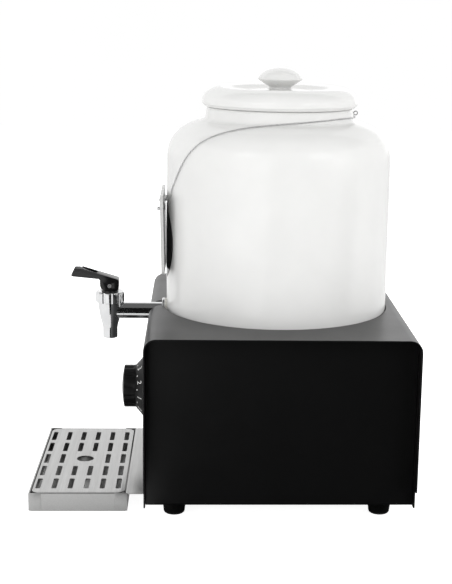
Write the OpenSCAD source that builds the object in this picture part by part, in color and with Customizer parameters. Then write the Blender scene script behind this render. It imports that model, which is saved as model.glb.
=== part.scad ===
// Heated countertop dispenser for warm sauce: a glazed ceramic jar with a lid stands in a
// powder-coated steel base, with a tap, a thermostat knob and a stainless drip tray in front.
// The front faces -Y, the jar's axis is vertical, and Z = 0 is the worktop.

/* [Base] */
// Length of the base along X
base_w = 300; // [290:1:310]
// Depth of the base along Y
base_d = 250; // [244:1:256]
// Height of the wrap's top face above the worktop
base_top = 181; // [181:1:186]
// Height of the wrap's lower edge above the worktop
wrap_low = 19.2; // [19:0.1:20]
// Outer bend radius of the wrap
wrap_bend = 11.5; // [8:0.5:12]
// Thickness of the steel sheet
sheet = 1.5; // [1.2:0.1:1.6]
// How far the side panels stand back from the wrap's ends
side_recess = 16; // [12:1:20]
// Height of the chassis's underside above the worktop
chassis_low = 19.6; // [19.4:0.1:20]
// Radius of the round opening for the jar
hole_r = 110.5; // [110.3:0.1:112]
// Width of the slot that the tap's shank drops into
slot_w = 22; // [20:1:24]

/* [Feet] */
// Diameter of a foot where it meets the chassis
foot_d_top = 24; // [22:0.5:26]
// Diameter of a foot at the worktop
foot_d_low = 20; // [18:0.5:21]
// Distance of the foot centres from the middle along X
foot_x = 99; // [90:1:105]
// Distance of the foot centres from the base's middle along Y
foot_y = 97.5; // [90:0.5:102]

/* [Jar] */
// Outer radius of the jar's straight wall
jar_r = 108.6; // [107.5:0.1:109]
// Wall thickness of the jar
jar_wall = 8; // [6:0.5:9]
// Height where the straight wall ends and the shoulder starts
shoulder_low = 324; // [315:1:330]
// Height where the shoulder would meet the axis
shoulder_top = 365.4; // [362:0.2:368]
// Outer radius of the neck
neck_r = 70.5; // [68:0.5:72]
// Height of the neck's rim
neck_top = 376; // [374:0.5:378]

/* [Lid] */
// Widest radius of the lid
lid_r = 75.3; // [73:0.1:77]
// Height of the lid's widest line
lid_mid = 380.8; // [380:0.2:382]
// Height of the lid's rounded rim
lid_crest = 394.8; // [392:0.2:397]
// Widest radius of the lid's knob
lid_knob_r = 21.8; // [18:0.2:24]
// Height of the top of the lid's knob
lid_top = 413.4; // [411:0.2:416]

/* [Tap] */
// Height of the shank's axis
shank_z = 173.3; // [173:0.1:173.5]
// Outer diameter of the shank, a 3/8 inch pipe thread
shank_d = 16.6; // [16:0.1:16.7]
// Distance from the jar's axis to the tap's axis
tap_reach = 164.5; // [160:0.5:170]
// Height of the spout's mouth
spout_low = 146; // [144:0.5:149]
// Height of the lever's pin
pivot_z = 198.9; // [198:0.1:199.5]
// How far the lever turns from closed to fully open, in degrees
lever_turn = 50; // [45:1:52]
// How far the stem rises when the lever is pressed
stem_lift = 3.4; // [3:0.1:4]

/* [Knob] */
// Height of the knob's axis
knob_z = 95.4; // [85:0.2:105]
// Diameter of the knob's grip
grip_d = 42.6; // [38:0.2:44]
// Diameter of the knob's skirt
skirt_d = 61; // [58:0.5:62]

/* [Drip tray] */
// Width of the tray along X
tray_w = 199; // [190:1:205]
// Depth of the tray along Y
tray_d = 93; // [90:1:95]
// Height of the tray's rim
tray_h = 18.4; // [17:0.1:18.6]
// Thickness of the tray's sheet
tray_sheet = 1; // [0.8:0.1:1.2]

/* [Plaque] */
// Width of the plaque
plaque_w = 100; // [90:1:105]
// Height of the plaque
plaque_h = 75; // [65:1:80]
// Thickness of the plaque
plaque_t = 3; // [2.5:0.1:3.5]
// Height of the plaque's lower edge
plaque_low = 218.5; // [215:0.5:222]
// Thickness of the twisted chain
chain_d = 1.8; // [1.5:0.1:2]

/* [Hidden] */
$fn = 96;
eps = 0.01;
far = 400;              // longer than any cut has to be
gap = 0.3;              // clearance between pieces that move apart
touch = 0.02;           // diameter allowance of pieces pressed together
fit_gap = 0.05;         // radial clearance of a running fit

// places along Y: the whole object is centred on Y = 0
base_y = 55;
front_y = base_y - base_d / 2;
back_y = base_y + base_d / 2;
jar_y = base_y + 1;
tap_y = jar_y - tap_reach;
tray_back_y = front_y - 17;
tray_front_y = tray_back_y - tray_d;

// chassis
panel_x = base_w / 2 - side_recess;
panel_gap = 0.2;
flange = 12;
chassis_bend = 2.5;
chassis_floor = chassis_low + sheet;
notch_w = 10;
notch_h = 18.6;
screw_x = 100;
screw_z = 31;
screw_d = 4;
screw_head_d = 7.4;
screw_head_t = 1;

// heater
plate_top = 149;
plate_t = 4;
plate_r = 112;
plate_lip = 6;
bridge_y = 60;
bridge_h = 10;
bridge_w = 26;
bridge_top = 128;
standoff_d = 8;
standoff_x = 60;
element_r = 72;
element_tube_r = 4;
element_z = plate_top - plate_t - element_tube_r;
lead_angle = 14;
insulation_r = 80;
insulation_t = 6;

// thermostat: the box hangs behind the front wall, the shaft comes out through it
thermo_w = 44;
thermo_h = 36;
thermo_t = 22;
thermo_screw_pitch = 28;
shaft_d = 6;
shaft_hole_d = 10;
grip_face_y = front_y - 26.8;
grip_edge_y = front_y - 24.6;
skirt_front_y = front_y - 12.6;
skirt_back_y = front_y - 4;
cord_d = 7;
gland_y = 120;
gland_z = 60;

// jar
jar_low = plate_top + gap;
jar_floor = jar_low + 9;
jar_foot_round = 8;
shoulder_r0 = 41;
shoulder_power = 2.7;
neck_flare = 2;
mouth_r = neck_r - jar_wall;
badge_w = 75;
badge_h = 74;
badge_z = 245.2;
badge_t = 0.4;

// tap
body_r = 11.8;
spout_r = 7.25;
bore_r = 5.2;
cavity_r = 8.6;
collar_low = 182;
collar_top = 193;
collar_r = 14.2;
flutes = 12;
flute_turn = 8;                                    // degrees from +X to the first flute
bonnet_r = 8.2;
bonnet_low = 184;
cam_clear = 0.2;
cam_base = 4.5;                                    // pin to the lever's flat underside
bonnet_top = pivot_z - cam_base - cam_clear;
cam_k = stem_lift / (lever_turn * PI / 180);       // rise per radian
stem_d = 6;
stem_low = 166;
tongue_w = 4.6;
tongue_low = pivot_z - 10;
pin_d = 4;
lever_w = 15;
scoop_w = 5.9;
stub_y = tap_y + 13.5;
flat_out_y = jar_y - jar_r + 0.8;
flat_in_y = jar_y - jar_r + jar_wall - 0.8;
seal_t = 2.5;
washer_t = 2.7;
washer_r = 12.7;
nut_t = 7;
nut_af = 24;
shank_end_y = flat_in_y + seal_t + nut_t + 3;

// tray grid
grid_gap = 1.5;
grid_t = 1.2;
grid_top = tray_h - 0.2;
grid_w = tray_w - 2 * (tray_sheet + grid_gap);
grid_d = tray_d - 2 * (tray_sheet + grid_gap);
grid_y = (tray_front_y + tray_back_y) / 2;
slot_cols = 6;
slot_rows = 5;
col_pitch = 15.3;
row_pitch = 36;
slot_l = 26.6;
slot_t = 4.5;
// the slots and the drain hole sit a little nearer the front
slot_shift = -1;
drain_d = 17;
tab_l = 12;

// plaque and chain
plaque_tilt = 1.4;
stud_x = 29;
stud_drop = 13.5;
ring_r = 2.4;
ring_t = 1;
plaque_back_y = jar_y - jar_r - 0.9;
chain_off = chain_d / 2 + 0.15;
// the chain's route on one side: [angle round the jar from the front, height]
chain_route = [
    [16, 288], [20, 299.5], [26, 313], [33, 328.5], [38, 339], [43.5, 348], [50, 354.5],
    [57, 358.5], [67, 362], [84, 364.5], [99, 366], [116, 367.5], [134, 368.5], [150, 368.5],
    [166, 368], [180, 368]
];
chain_end = [29, -51.5, 284];    // where the chain hooks into the ring behind the plaque

// radius of the jar's outer surface at height z: straight wall, superellipse shoulder, neck
function shoulder_at(z) =
    let (t = min(1, max(0, (z - shoulder_low) / (shoulder_top - shoulder_low))))
    shoulder_r0 + (jar_r - shoulder_r0) * pow(1 - pow(t, shoulder_power), 1 / shoulder_power);
function neck_at(z) = neck_r + neck_flare * max(0, (neck_top - z) / (neck_top - 362));

// upward share of the shoulder's outward normal
function shoulder_lift(z) =
    let (s = (shoulder_at(z - 0.05) - shoulder_at(z + 0.05)) / 0.1)
    s / sqrt(1 + s * s);
// radius at height z of a line that stays off clear of the shoulder, the neck and the fillet between them
function clear_of_jar(z, off) =
    let (z1 = z - off * shoulder_lift(z), z2 = z - off * shoulder_lift(z1))
    max(shoulder_at(z2) + off * sqrt(1 - pow(shoulder_lift(z2), 2)),
        neck_at(z) + off + min(1.5, max(0, 366.2 - z) / 2));

// a point off the jar's surface, at an angle from the front
function on_jar(a, z, side, off) =
    let (r = clear_of_jar(z, off))
    [side * r * sin(a), jar_y - r * cos(a), z];

function arc(cx, cz, r, a0, a1, n) =
    [for (i = [0 : n]) let (a = a0 + (a1 - a0) * i / n) [cx + r * cos(a), cz + r * sin(a)]];

// ---------- swept tubes ----------
function unit(v) = v / norm(v);
function along(p, i) = unit(p[min(i + 1, len(p) - 1)] - p[max(i - 1, 0)]);
function square_to(v, t) = unit(v - (v * t) * t);
// one direction across the path at each point, carried along it without twisting
function sides_of(p) = [
    for (i = 0, u = square_to([1, 0.2, 0.1], along(p, 0)); i < len(p);
         i = i + 1, u = i < len(p) ? square_to(u, along(p, i)) : u) u
];
// middle points of a smooth curve through the route's points
function smooth(p, n) = [
    for (i = [0 : len(p) - 2], j = [0 : n - 1])
        let (t = j / n,
             a = p[max(i - 1, 0)], b = p[i], c = p[i + 1], d = p[min(i + 2, len(p) - 1)])
        0.5 * (2 * b + (c - a) * t + (2 * a - 5 * b + 4 * c - d) * t * t
               + (3 * b - a - 3 * c + d) * t * t * t),
    p[len(p) - 1]
];

module tube_along(p, r, sides = 8) {
    across = sides_of(p);
    rings = [for (i = [0 : len(p) - 1])
        let (u = across[i], v = cross(along(p, i), u))
        for (k = [0 : sides - 1])
            let (a = 360 * k / sides)
            p[i] + r * (u * cos(a) + v * sin(a))];
    walls = [for (i = [0 : len(p) - 2], k = [0 : sides - 1])
        let (k2 = (k + 1) % sides)
        [(i + 1) * sides + k, (i + 1) * sides + k2, i * sides + k2, i * sides + k]];
    first = [for (k = [0 : sides - 1]) k];
    last = [for (k = [0 : sides - 1]) len(p) * sides - 1 - k];
    polyhedron(rings, concat([first], walls, [last]), convexity = 6);
}

// ---------- base ----------
// outline across the base, in Y and Z, with the two upper corners rounded
module base_outline(inset, low, r) {
    y0 = front_y + inset;
    y1 = back_y - inset;
    top = base_top - inset;
    translate([y0, low]) square([y1 - y0, top - r - low]);
    translate([y0 + r, low]) square([y1 - y0 - 2 * r, top - low]);
    for (y = [y0 + r, y1 - r]) translate([y, top - r]) circle(r = r);
}

module along_x(len) {
    translate([-len / 2, 0, 0]) rotate([90, 0, 90]) linear_extrude(len) children();
}

// a round bar along Y from y0 to y1
module bar_y(d, y0, y1, z, x = 0) {
    translate([x, y1, z]) rotate([90, 0, 0]) cylinder(d = d, h = y1 - y0);
}

module shell_screw_places() {
    for (x = [-screw_x, screw_x]) {
        translate([x, front_y, screw_z]) rotate([-90, 0, 0]) children();
        translate([x, back_y, screw_z]) rotate([90, 0, 0]) children();
    }
}

module shell_wrap() {
    color("#1c1c1e") difference() {
        along_x(base_w) difference() {
            base_outline(0, wrap_low, wrap_bend);
            base_outline(sheet, wrap_low - 1, wrap_bend - sheet);
        }
        translate([0, base_y, base_top - 10]) cylinder(r = hole_r, h = 20, $fn = 180);
        // slot for the shank, round at its lower end, wider where the washer passes
        bar_y(slot_w, front_y - 1, front_y + wrap_bend, shank_z);
        translate([-slot_w / 2, front_y - 1, shank_z]) cube([slot_w, 40, 20]);
        washer_w = 2 * washer_r + 2;
        translate([-washer_w / 2, flat_out_y - seal_t - washer_t - 1, shank_z]) cube([washer_w, 20, 20]);
        // thermostat
        bar_y(shaft_hole_d, front_y - 1, front_y + sheet + 1, knob_z);
        for (x = [-1, 1])
            bar_y(screw_d + 0.4, front_y - 1, front_y + sheet + 1, knob_z, x * thermo_screw_pitch / 2);
        // notched lower corners
        for (x = [-1, 1])
            translate([x * base_w / 2 - notch_w, front_y - 1, wrap_low - 1])
                cube([2 * notch_w, base_d + 2, notch_h + 1]);
        shell_screw_places() {
            translate([0, 0, -1]) cylinder(d = screw_head_d + 0.4, h = screw_head_t + 1);
            translate([0, 0, -1]) cylinder(d = screw_d + 0.4, h = 6);
        }
    }
}

module chassis() {
    outline_inset = sheet + panel_gap;
    r = wrap_bend - outline_inset;
    color("#202022") difference() {
        union() {
            // floor and two sides, one folded sheet
            intersection() {
                translate([0, back_y - outline_inset, 0]) rotate([90, 0, 0])
                    linear_extrude(base_d - 2 * outline_inset) difference() {
                        chassis_section(panel_x, chassis_low, chassis_bend);
                        chassis_section(panel_x - sheet, chassis_floor, chassis_bend - sheet);
                    }
                along_x(base_w) base_outline(outline_inset, 0, r);
            }
            // flanges folded in round each side
            difference() {
                intersection() {
                    along_x(2 * panel_x - 2 * chassis_bend)
                        base_outline(outline_inset, chassis_low + eps, r);
                    for (x = [-1, 1])
                        translate([x * (panel_x - flange / 2) - flange / 2, front_y, 0])
                            cube([flange, base_d, far]);
                }
                along_x(base_w) base_outline(outline_inset + sheet, chassis_floor - 0.5, r - sheet);
            }
            // upturned lips along the front and back of the floor
            for (y = [front_y + outline_inset, back_y - outline_inset - sheet])
                translate([-panel_x + flange, y, chassis_low + 0.5])
                    cube([2 * panel_x - 2 * flange, sheet, 22]);
        }
        shell_screw_places() translate([0, 0, -1]) cylinder(d = screw_d + 0.2, h = 6);
        for (x = [-1, 1], y = [-1, 1])
            translate([x * foot_x, base_y + y * foot_y, 0]) cylinder(d = screw_d + 0.6, h = 40);
        // vent slots in the floor
        for (x = [-60 : 20 : 60], y = [-30, 30])
            translate([x - 2.5, base_y + y - 17, 0]) cube([5, 34, 40]);
        // gland hole in the left side
        translate([-panel_x - 5, gland_y, gland_z]) rotate([0, 90, 0]) cylinder(d = 16.4, h = 20);
    }
}

// the chassis seen from the front: a tall box with rounded lower corners
module chassis_section(x, low, r) {
    translate([-x, low + r]) square([2 * x, far]);
    translate([-x + r, low]) square([2 * (x - r), 2 * r]);
    for (s = [-1, 1]) translate([s * (x - r), low + r]) circle(r = r, $fn = 48);
}

module shell_screws() {
    color("#2a2a2c") shell_screw_places() {
        difference() {
            cylinder(d = screw_head_d, h = screw_head_t - 0.05);
            for (a = [0, 90]) rotate([0, 0, a]) translate([-2, -0.4, -1]) cube([4, 0.8, 1.4]);
        }
        translate([0, 0, screw_head_t - 0.4]) cylinder(d = screw_d, h = 8);
    }
}

module rubber_feet() {
    round_r = 2.5;
    color("#151515") for (x = [-1, 1], y = [-1, 1])
        translate([x * foot_x, base_y + y * foot_y, 0]) difference() {
            rotate_extrude() {
                polygon([
                    [0, 0], [foot_d_low / 2 - round_r, 0],
                    each arc(foot_d_low / 2 - round_r, round_r, round_r, -90, 0, 6),
                    [foot_d_top / 2, chassis_low - 1], [foot_d_top / 2 - 0.5, chassis_low],
                    [0, chassis_low]
                ]);
            }
            translate([0, 0, -1]) cylinder(d = 9.4, h = 9);
            cylinder(d = screw_d + 0.6, h = 40);
        }
}

module foot_screws() {
    color("#9a9a9a") for (x = [-1, 1], y = [-1, 1])
        translate([x * foot_x, base_y + y * foot_y, 0]) {
            difference() {
                translate([0, 0, 5.2]) cylinder(d = 8, h = 2.8);
                translate([0, 0, 5]) for (a = [0, 90]) rotate([0, 0, a])
                    translate([-2.5, -0.5, 0]) cube([5, 1, 1.4]);
            }
            translate([0, 0, 7.9]) cylinder(d = screw_d, h = 18);
            translate([0, 0, chassis_floor + 0.05]) difference() {
                cylinder(d = 8, h = 3.2, $fn = 6);
                translate([0, 0, -1]) cylinder(d = screw_d + 0.1, h = 6);
            }
        }
}

// ---------- heater ----------
module heater_bridges() {
    color("#8d9094") for (y = [-1, 1])
        translate([0, base_y + y * bridge_y, 0]) difference() {
            union() {
                translate([-panel_x + sheet, -bridge_w / 2, bridge_top - bridge_h]) difference() {
                    cube([2 * (panel_x - sheet), bridge_w, bridge_h]);
                    translate([-1, sheet, -1])
                        cube([2 * panel_x, bridge_w - 2 * sheet, bridge_h + 1 - sheet]);
                }
                for (s = [-1, 1])
                    translate([s * (panel_x - sheet - 0.75) - 0.75, -bridge_w / 2, bridge_top - 28])
                        cube([sheet, bridge_w, 28]);
            }
            for (x = [-1, 1])
                translate([x * standoff_x, 0, bridge_top - 4]) cylinder(d = 4.4, h = 8);
        }
}

module plate_standoffs() {
    color("#b8bcc0") for (x = [-1, 1], y = [-1, 1])
        translate([x * standoff_x, base_y + y * bridge_y, 0]) {
            translate([0, 0, bridge_top]) cylinder(d = standoff_d, h = plate_top - plate_t - bridge_top);
            translate([0, 0, bridge_top - 6]) cylinder(d = 4.3, h = 7);
        }
}

module heater_plate() {
    color("#a9adb0") translate([0, jar_y, 0]) rotate_extrude($fn = 180) polygon([
        [0, plate_top - plate_t], [plate_r, plate_top - plate_t], [plate_r, plate_top + plate_lip],
        [plate_r - 2, plate_top + plate_lip], [plate_r - 2, plate_top], [0, plate_top]
    ]);
}

module heating_element() {
    lead = 18;
    color("#6d5f55") translate([0, jar_y, element_z]) {
        rotate([0, 0, lead_angle]) rotate_extrude(angle = 360 - 2 * lead_angle)
            translate([element_r, 0]) circle(r = element_tube_r, $fn = 32);
        for (a = [-lead_angle, lead_angle]) rotate([0, 0, a]) translate([element_r, 0, 0]) {
            translate([0, 0, -lead]) cylinder(r = element_tube_r + 0.8, h = lead + 3, $fn = 32);
            translate([0, 0, -lead - 12]) cylinder(r = 1.5, h = 13, $fn = 24);
        }
    }
}

module insulation_disc() {
    color("#d9d3c0") translate([0, jar_y, bridge_top + 0.1]) difference() {
        cylinder(r = insulation_r, h = insulation_t);
        for (x = [-1, 1], y = [-1, 1])
            translate([x * standoff_x, base_y - jar_y + y * bridge_y, -1])
                cylinder(d = standoff_d + 1, h = insulation_t + 2);
        for (a = [-lead_angle, lead_angle]) rotate([0, 0, a]) translate([element_r, 0, -1])
            cylinder(r = element_tube_r + 1.5, h = insulation_t + 2);
    }
}

module thermal_cutout() {
    color("#c9c6bd") translate([0, jar_y, plate_top - plate_t]) {
        translate([0, 0, -7]) cylinder(d = 15, h = 7);
        translate([-12, -4, -1]) cube([24, 8, 1]);
        for (x = [-4, 2.8]) translate([x, -7, -9]) cube([1.2, 14, 2]);
    }
}

module thermostat_body() {
    color("#dcdcd6") difference() {
        union() {
            translate([-thermo_w / 2, front_y + sheet, knob_z - thermo_h / 2])
                cube([thermo_w, thermo_t, thermo_h]);
            for (x = [-13, 0, 13])
                translate([x - 3, front_y + sheet + thermo_t, knob_z - 4]) cube([6, 8, 0.8]);
        }
        bar_y(shaft_d + 2 * fit_gap, front_y, front_y + sheet + 12, knob_z);
        for (x = [-1, 1])
            bar_y(screw_d, front_y, front_y + sheet + 8, knob_z, x * thermo_screw_pitch / 2);
    }
}

module thermostat_screws() {
    color("#b0b0b0") for (x = [-1, 1]) {
        bar_y(screw_d - 0.05, front_y - eps, front_y + sheet + 7, knob_z, x * thermo_screw_pitch / 2);
        bar_y(7, front_y - 2, front_y, knob_z, x * thermo_screw_pitch / 2);
    }
}

module thermostat_probe() {
    // thin copper tube from the thermostat to a bulb held under the plate
    route = [
        [14, front_y + sheet + thermo_t + gap, 84], [14, front_y + 34, 84], [23, front_y + 40, 92],
        [37, front_y + 43, 106], [46, front_y + 44.5, 119], [46.5, front_y + 46, 127],
        [44.5, front_y + 49, 133], [40.5, front_y + 55, 135.3], [36, front_y + 65, 135.3],
        [32.5, front_y + 77, 135.6], [30.5, front_y + 86, 137.5], [30, front_y + 92, 139]
    ];
    color("#b87333") {
        tube_along(smooth(route, 4), 1);
        translate([30, front_y + 92.6, 139]) rotate([-90, 0, 0]) cylinder(d = 6, h = 60, $fn = 32);
    }
}

module terminal_block() {
    color("#e8e4d8") translate([-70, gland_y - 15, chassis_floor + 0.05]) difference() {
        cube([40, 20, 16]);
        for (x = [7, 20, 33], y = [5, 15]) translate([x, y, 10]) cylinder(d = 4, h = 8, $fn = 32);
        for (x = [7, 20, 33]) translate([x, -1, 6]) rotate([-90, 0, 0]) cylinder(d = 3.4, h = 30, $fn = 32);
    }
}

module cable_gland() {
    // the cord's way in: a hexagon body outside the left side, a thread through it
    color("#1a1a1a") translate([-panel_x, gland_y, gland_z]) rotate([0, -90, 0]) difference() {
        union() {
            cylinder(d = 22, h = 5, $fn = 6);
            translate([0, 0, 5]) cylinder(d1 = 19, d2 = 14, h = 7);
            translate([0, 0, -11]) cylinder(d = 16, h = 11 + eps);
        }
        translate([0, 0, -12]) cylinder(d = cord_d + 0.4, h = 30);
    }
}

module gland_nut() {
    color("#1a1a1a") translate([-panel_x + sheet, gland_y, gland_z]) rotate([0, 90, 0]) difference() {
        cylinder(d = 23, h = 5, $fn = 6);
        translate([0, 0, -1]) cylinder(d = 16.1, h = 8);
    }
}

module heater_wires() {
    hot = [
        [-63, gland_y - 15.1, 27.1], [-63, 90, 28], [-60, 70, 36], [-45, 40, 52], [-28, 5, 74],
        [-14, -20, 94], [-13, front_y + sheet + thermo_t + 8.1, 95.5]
    ];
    back = [
        [-50, gland_y - 15.1, 27.1], [-50, 92, 30], [-44, 80, 46], [-28, 72, 76], [-8, 68, 104],
        [-2, 62, 120], [10, 58, 128 - 6]
    ];
    color("#b5322a") tube_along(smooth(hot, 4), 1.5);
    color("#e9e6dc") tube_along(smooth(back, 4), 1.5);
}

// ---------- thermostat knob ----------
module thermostat_shaft() {
    color("#c7c7c2") bar_y(shaft_d, grip_face_y + 8, front_y + sheet + 11, knob_z);
}

module knob_skirt() {
    d1 = skirt_d;
    d2 = grip_d + 1;
    depth = skirt_back_y - skirt_front_y;
    color("#161617") translate([0, skirt_back_y, knob_z]) rotate([90, 0, 0]) difference() {
        rotate_extrude() polygon([
            [0, 0.6], [d1 / 2 - 2.4, 0.6], [d1 / 2 - 0.6, 0], [d1 / 2, 0.5], [d1 / 2, 1.2],
            [d2 / 2, depth], [0, depth]
        ]);
        translate([0, 0, -1]) cylinder(d = shaft_d + touch, h = depth + 2);
        translate([0, 0, -1]) cylinder(d = 30, h = 3.2);
    }
}

module knob_grip() {
    // shallow grip scallops round a drum with a domed face
    depth = skirt_front_y - grip_edge_y;
    dome = grip_edge_y - grip_face_y;
    dome_r = (pow(grip_d / 2 - 1, 2) + dome * dome) / (2 * dome);
    half = asin((grip_d / 2 - 1) / dome_r);
    color("#1d1d1f") translate([0, skirt_front_y, knob_z]) rotate([90, 0, 0]) difference() {
        rotate_extrude() polygon([
            [0, 0], [grip_d / 2, 0], [grip_d / 2, depth - 1], [grip_d / 2 - 1, depth],
            each arc(0, depth + dome - dome_r, dome_r, 90 - half, 90, 12)
        ]);
        for (a = [15 : 30 : 345]) rotate([0, 0, a])
            translate([grip_d / 2 + 3.2, 0, 2]) cylinder(r = 4, h = depth + 5, $fn = 32);
        translate([0, 0, -1]) cylinder(d = shaft_d + touch, h = depth + 1 + dome - 8);
    }
}

// ---------- jar ----------
function jar_outer() = [
    each arc(jar_r - jar_foot_round, jar_low + jar_foot_round, jar_foot_round, -90, 0, 8),
    [jar_r, shoulder_low],
    for (i = [1 : 17])
        let (a = i * 5, z = shoulder_low + (shoulder_top - shoulder_low) * pow(sin(a), 2 / shoulder_power))
        if (shoulder_at(z) > neck_at(z) + 3) [shoulder_at(z), z],
    // a small fillet between shoulder and neck
    [neck_at(365) + 2.2, 363.04], [neck_at(365) + 1.1, 363.7], [neck_at(365) + 0.3, 364.4],
    [neck_at(365.4), 365.4], [neck_r, neck_top - 2],
    [neck_r - 1.5, neck_top]
];

function jar_inner() = [
    [mouth_r + 1.5, neck_top], [mouth_r, neck_top - 1.5], [mouth_r, 364],
    for (i = [16 : -1 : 1])
        let (a = i * 5.6)
        if (inner_shoulder(a)[0] > mouth_r + 1) inner_shoulder(a),
    [jar_r - jar_wall, shoulder_low - 2], [jar_r - jar_wall, jar_floor + 12],
    each arc(jar_r - jar_wall - 12, jar_floor + 12, 12, 0, -90, 8)
];

function inner_shoulder(a) = [
    shoulder_r0 + (jar_r - jar_wall - shoulder_r0) * pow(cos(a), 2 / shoulder_power),
    shoulder_low - 2 + (shoulder_top - jar_wall - shoulder_low + 2) * pow(sin(a), 2 / shoulder_power)
];

module jar() {
    color("#f4f3ef") difference() {
        translate([0, jar_y, 0]) rotate_extrude($fn = 180)
            polygon([[0, jar_low], each jar_outer(), each jar_inner(), [0, jar_floor]]);
        // flats for the seals, and the hole for the shank
        bar_y(2 * washer_r + 0.6, jar_y - jar_r - 5, flat_out_y, shank_z);
        bar_y(2 * washer_r + 3, flat_in_y, flat_in_y + 10, shank_z);
        bar_y(shank_d + 0.4, jar_y - jar_r - 5, jar_y - jar_r + 30, shank_z);
    }
}

module jar_badge() {
    // plain black oval fired onto the front of the jar
    color("#111111") intersection() {
        translate([0, jar_y, badge_z - badge_h / 2]) difference() {
            cylinder(r = jar_r + 0.05 + badge_t, h = badge_h, $fn = 180);
            translate([0, 0, -1]) cylinder(r = jar_r + 0.05, h = badge_h + 2, $fn = 180);
        }
        translate([0, jar_y, badge_z]) rotate([90, 0, 0]) linear_extrude(jar_r + 10)
            polygon([for (a = [0 : 6 : 354]) [badge_w / 2 * cos(a), badge_h / 2 * sin(a)]]);
    }
}

module lid() {
    low = neck_top + gap;
    plug_r = mouth_r - 1;
    plug_low = low - 11;
    rim_a = 19.2;
    rim_b = lid_crest - lid_mid;
    crest_r = lid_r - rim_a;
    knob_dome = 15.7;
    knob_mid = lid_top - knob_dome;
    lid_dip = 3.4;
    color("#f6f5f1") difference() {
        translate([0, jar_y, 0]) rotate_extrude($fn = 144) polygon([
            [0, plug_low + 4], [plug_r - 10, plug_low + 3], [plug_r - 6, plug_low], [plug_r - 1, plug_low],
            [plug_r, plug_low + 1], [plug_r, low], [71.5, low], [73.6, low + 1.2],
            for (a = [-8 : 8 : 88])
                [crest_r + rim_a * cos(a), lid_mid + (a < 0 ? 8 : rim_b) * sin(a)],
            [crest_r, lid_crest],
            for (i = [1 : 6])
                let (t = i / 6)
                [crest_r - 16 * t, lid_crest - lid_dip * (1 - cos(180 * t)) / 2],
            [26, lid_crest - 2.4], [16, lid_crest - 1.8], [12.5, lid_crest - 1.5], [10.8, lid_crest - 1],
            [10.5, lid_crest - 0.2], [12, lid_crest + 0.9], [14.8, lid_crest + 2.4],
            [18, lid_crest + 4.2], [20.4, lid_crest + 5.6], [lid_knob_r - 0.3, lid_crest + 6.4],
            [lid_knob_r, lid_crest + 7],
            for (a = [18 : 8.5 : 88])
                [(lid_knob_r + 0.25) * cos(a), knob_mid + knob_dome * sin(a)],
            [0, lid_top]
        ]);
        // vent hole beside the knob
        translate([13.8, jar_y - 4.3, plug_low - 5]) cylinder(d = 2.6, h = 34, $fn = 24);
    }
}

// ---------- tap ----------
module tap_shank() {
    color("#d4d6d8") difference() {
        bar_y(shank_d, stub_y, shank_end_y, shank_z);
        bar_y(11, stub_y - 1, shank_end_y + 1, shank_z);
    }
}

module shank_seals() {
    color("#e9e7e1") for (y = [flat_out_y - seal_t, flat_in_y]) difference() {
        bar_y(2 * washer_r - 0.6, y, y + seal_t, shank_z);
        bar_y(shank_d + 0.1, y - 1, y + seal_t + 1, shank_z);
    }
}

module shank_washer() {
    y = flat_out_y - seal_t - washer_t;
    color("#d4d6d8") difference() {
        bar_y(2 * washer_r, y, y + washer_t, shank_z);
        bar_y(shank_d + 0.1, y - 1, y + washer_t + 1, shank_z);
    }
}

module shank_nut() {
    y = flat_in_y + seal_t;
    color("#c9cbcd") difference() {
        translate([0, y + nut_t, shank_z]) rotate([90, 30, 0])
            cylinder(d = nut_af / cos(30), h = nut_t, $fn = 6);
        bar_y(shank_d + 0.1, y - 1, y + nut_t + 1, shank_z);
    }
}

module tap_body() {
    seat_z = 158;
    cone_z = 166;
    color("#d8dadc") difference() {
        union() {
            translate([0, tap_y, 0]) rotate_extrude() polygon([
                [0, spout_low], [spout_r - 0.4, spout_low], [spout_r, spout_low + 0.4],
                [spout_r, 156], [7.8, 158.5], [9.1, 164], [10.4, 169.5], [11.3, 175], [11.7, 179],
                [body_r, collar_low], [body_r, collar_low + 2], [0, collar_low + 2]
            ]);
            bar_y(shank_d, tap_y, stub_y, shank_z);
        }
        translate([0, tap_y, 0]) rotate_extrude() polygon([
            [0, spout_low - 1], [bore_r, spout_low - 1], [bore_r, seat_z],
            [cavity_r, cone_z], [cavity_r, collar_low + 3], [0, collar_low + 3]
        ]);
        bar_y(11, tap_y, stub_y + 1, shank_z);
    }
}

module tap_collar() {
    color("#d8dadc") translate([0, tap_y, 0]) difference() {
        rotate_extrude() polygon([
            [bonnet_r + 0.6, bonnet_low + 6.5], [body_r + 0.1, bonnet_low + 4], [body_r + 0.1, collar_low],
            [collar_r - 0.9, collar_low], [collar_r, collar_low + 1], [collar_r, collar_top - 1.6],
            [collar_r - 1.2, collar_top - 0.2], [collar_r - 2.4, collar_top],
            [bonnet_r + 0.6, collar_top - 2.4]
        ]);
        for (i = [0 : flutes - 1]) rotate([0, 0, 360 / flutes * i + flute_turn])
            translate([collar_r + 0.9, 0, collar_low - 1]) cylinder(r = 1.8, h = 20, $fn = 24);
    }
}

module tap_bonnet() {
    color("#17181a") translate([0, tap_y, 0]) difference() {
        rotate_extrude() polygon([
            [0, bonnet_low], [body_r - 0.2, bonnet_low + 0.1], [body_r - 0.2, bonnet_low + 3.6],
            [bonnet_r + 0.4, bonnet_low + 6.2],
            [bonnet_r - 0.2, bonnet_top - 1], [bonnet_r - 1, bonnet_top], [0, bonnet_top]
        ]);
        translate([0, 0, bonnet_low - 1]) cylinder(d = stem_d + 2 * fit_gap, h = 20);
    }
}

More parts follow.
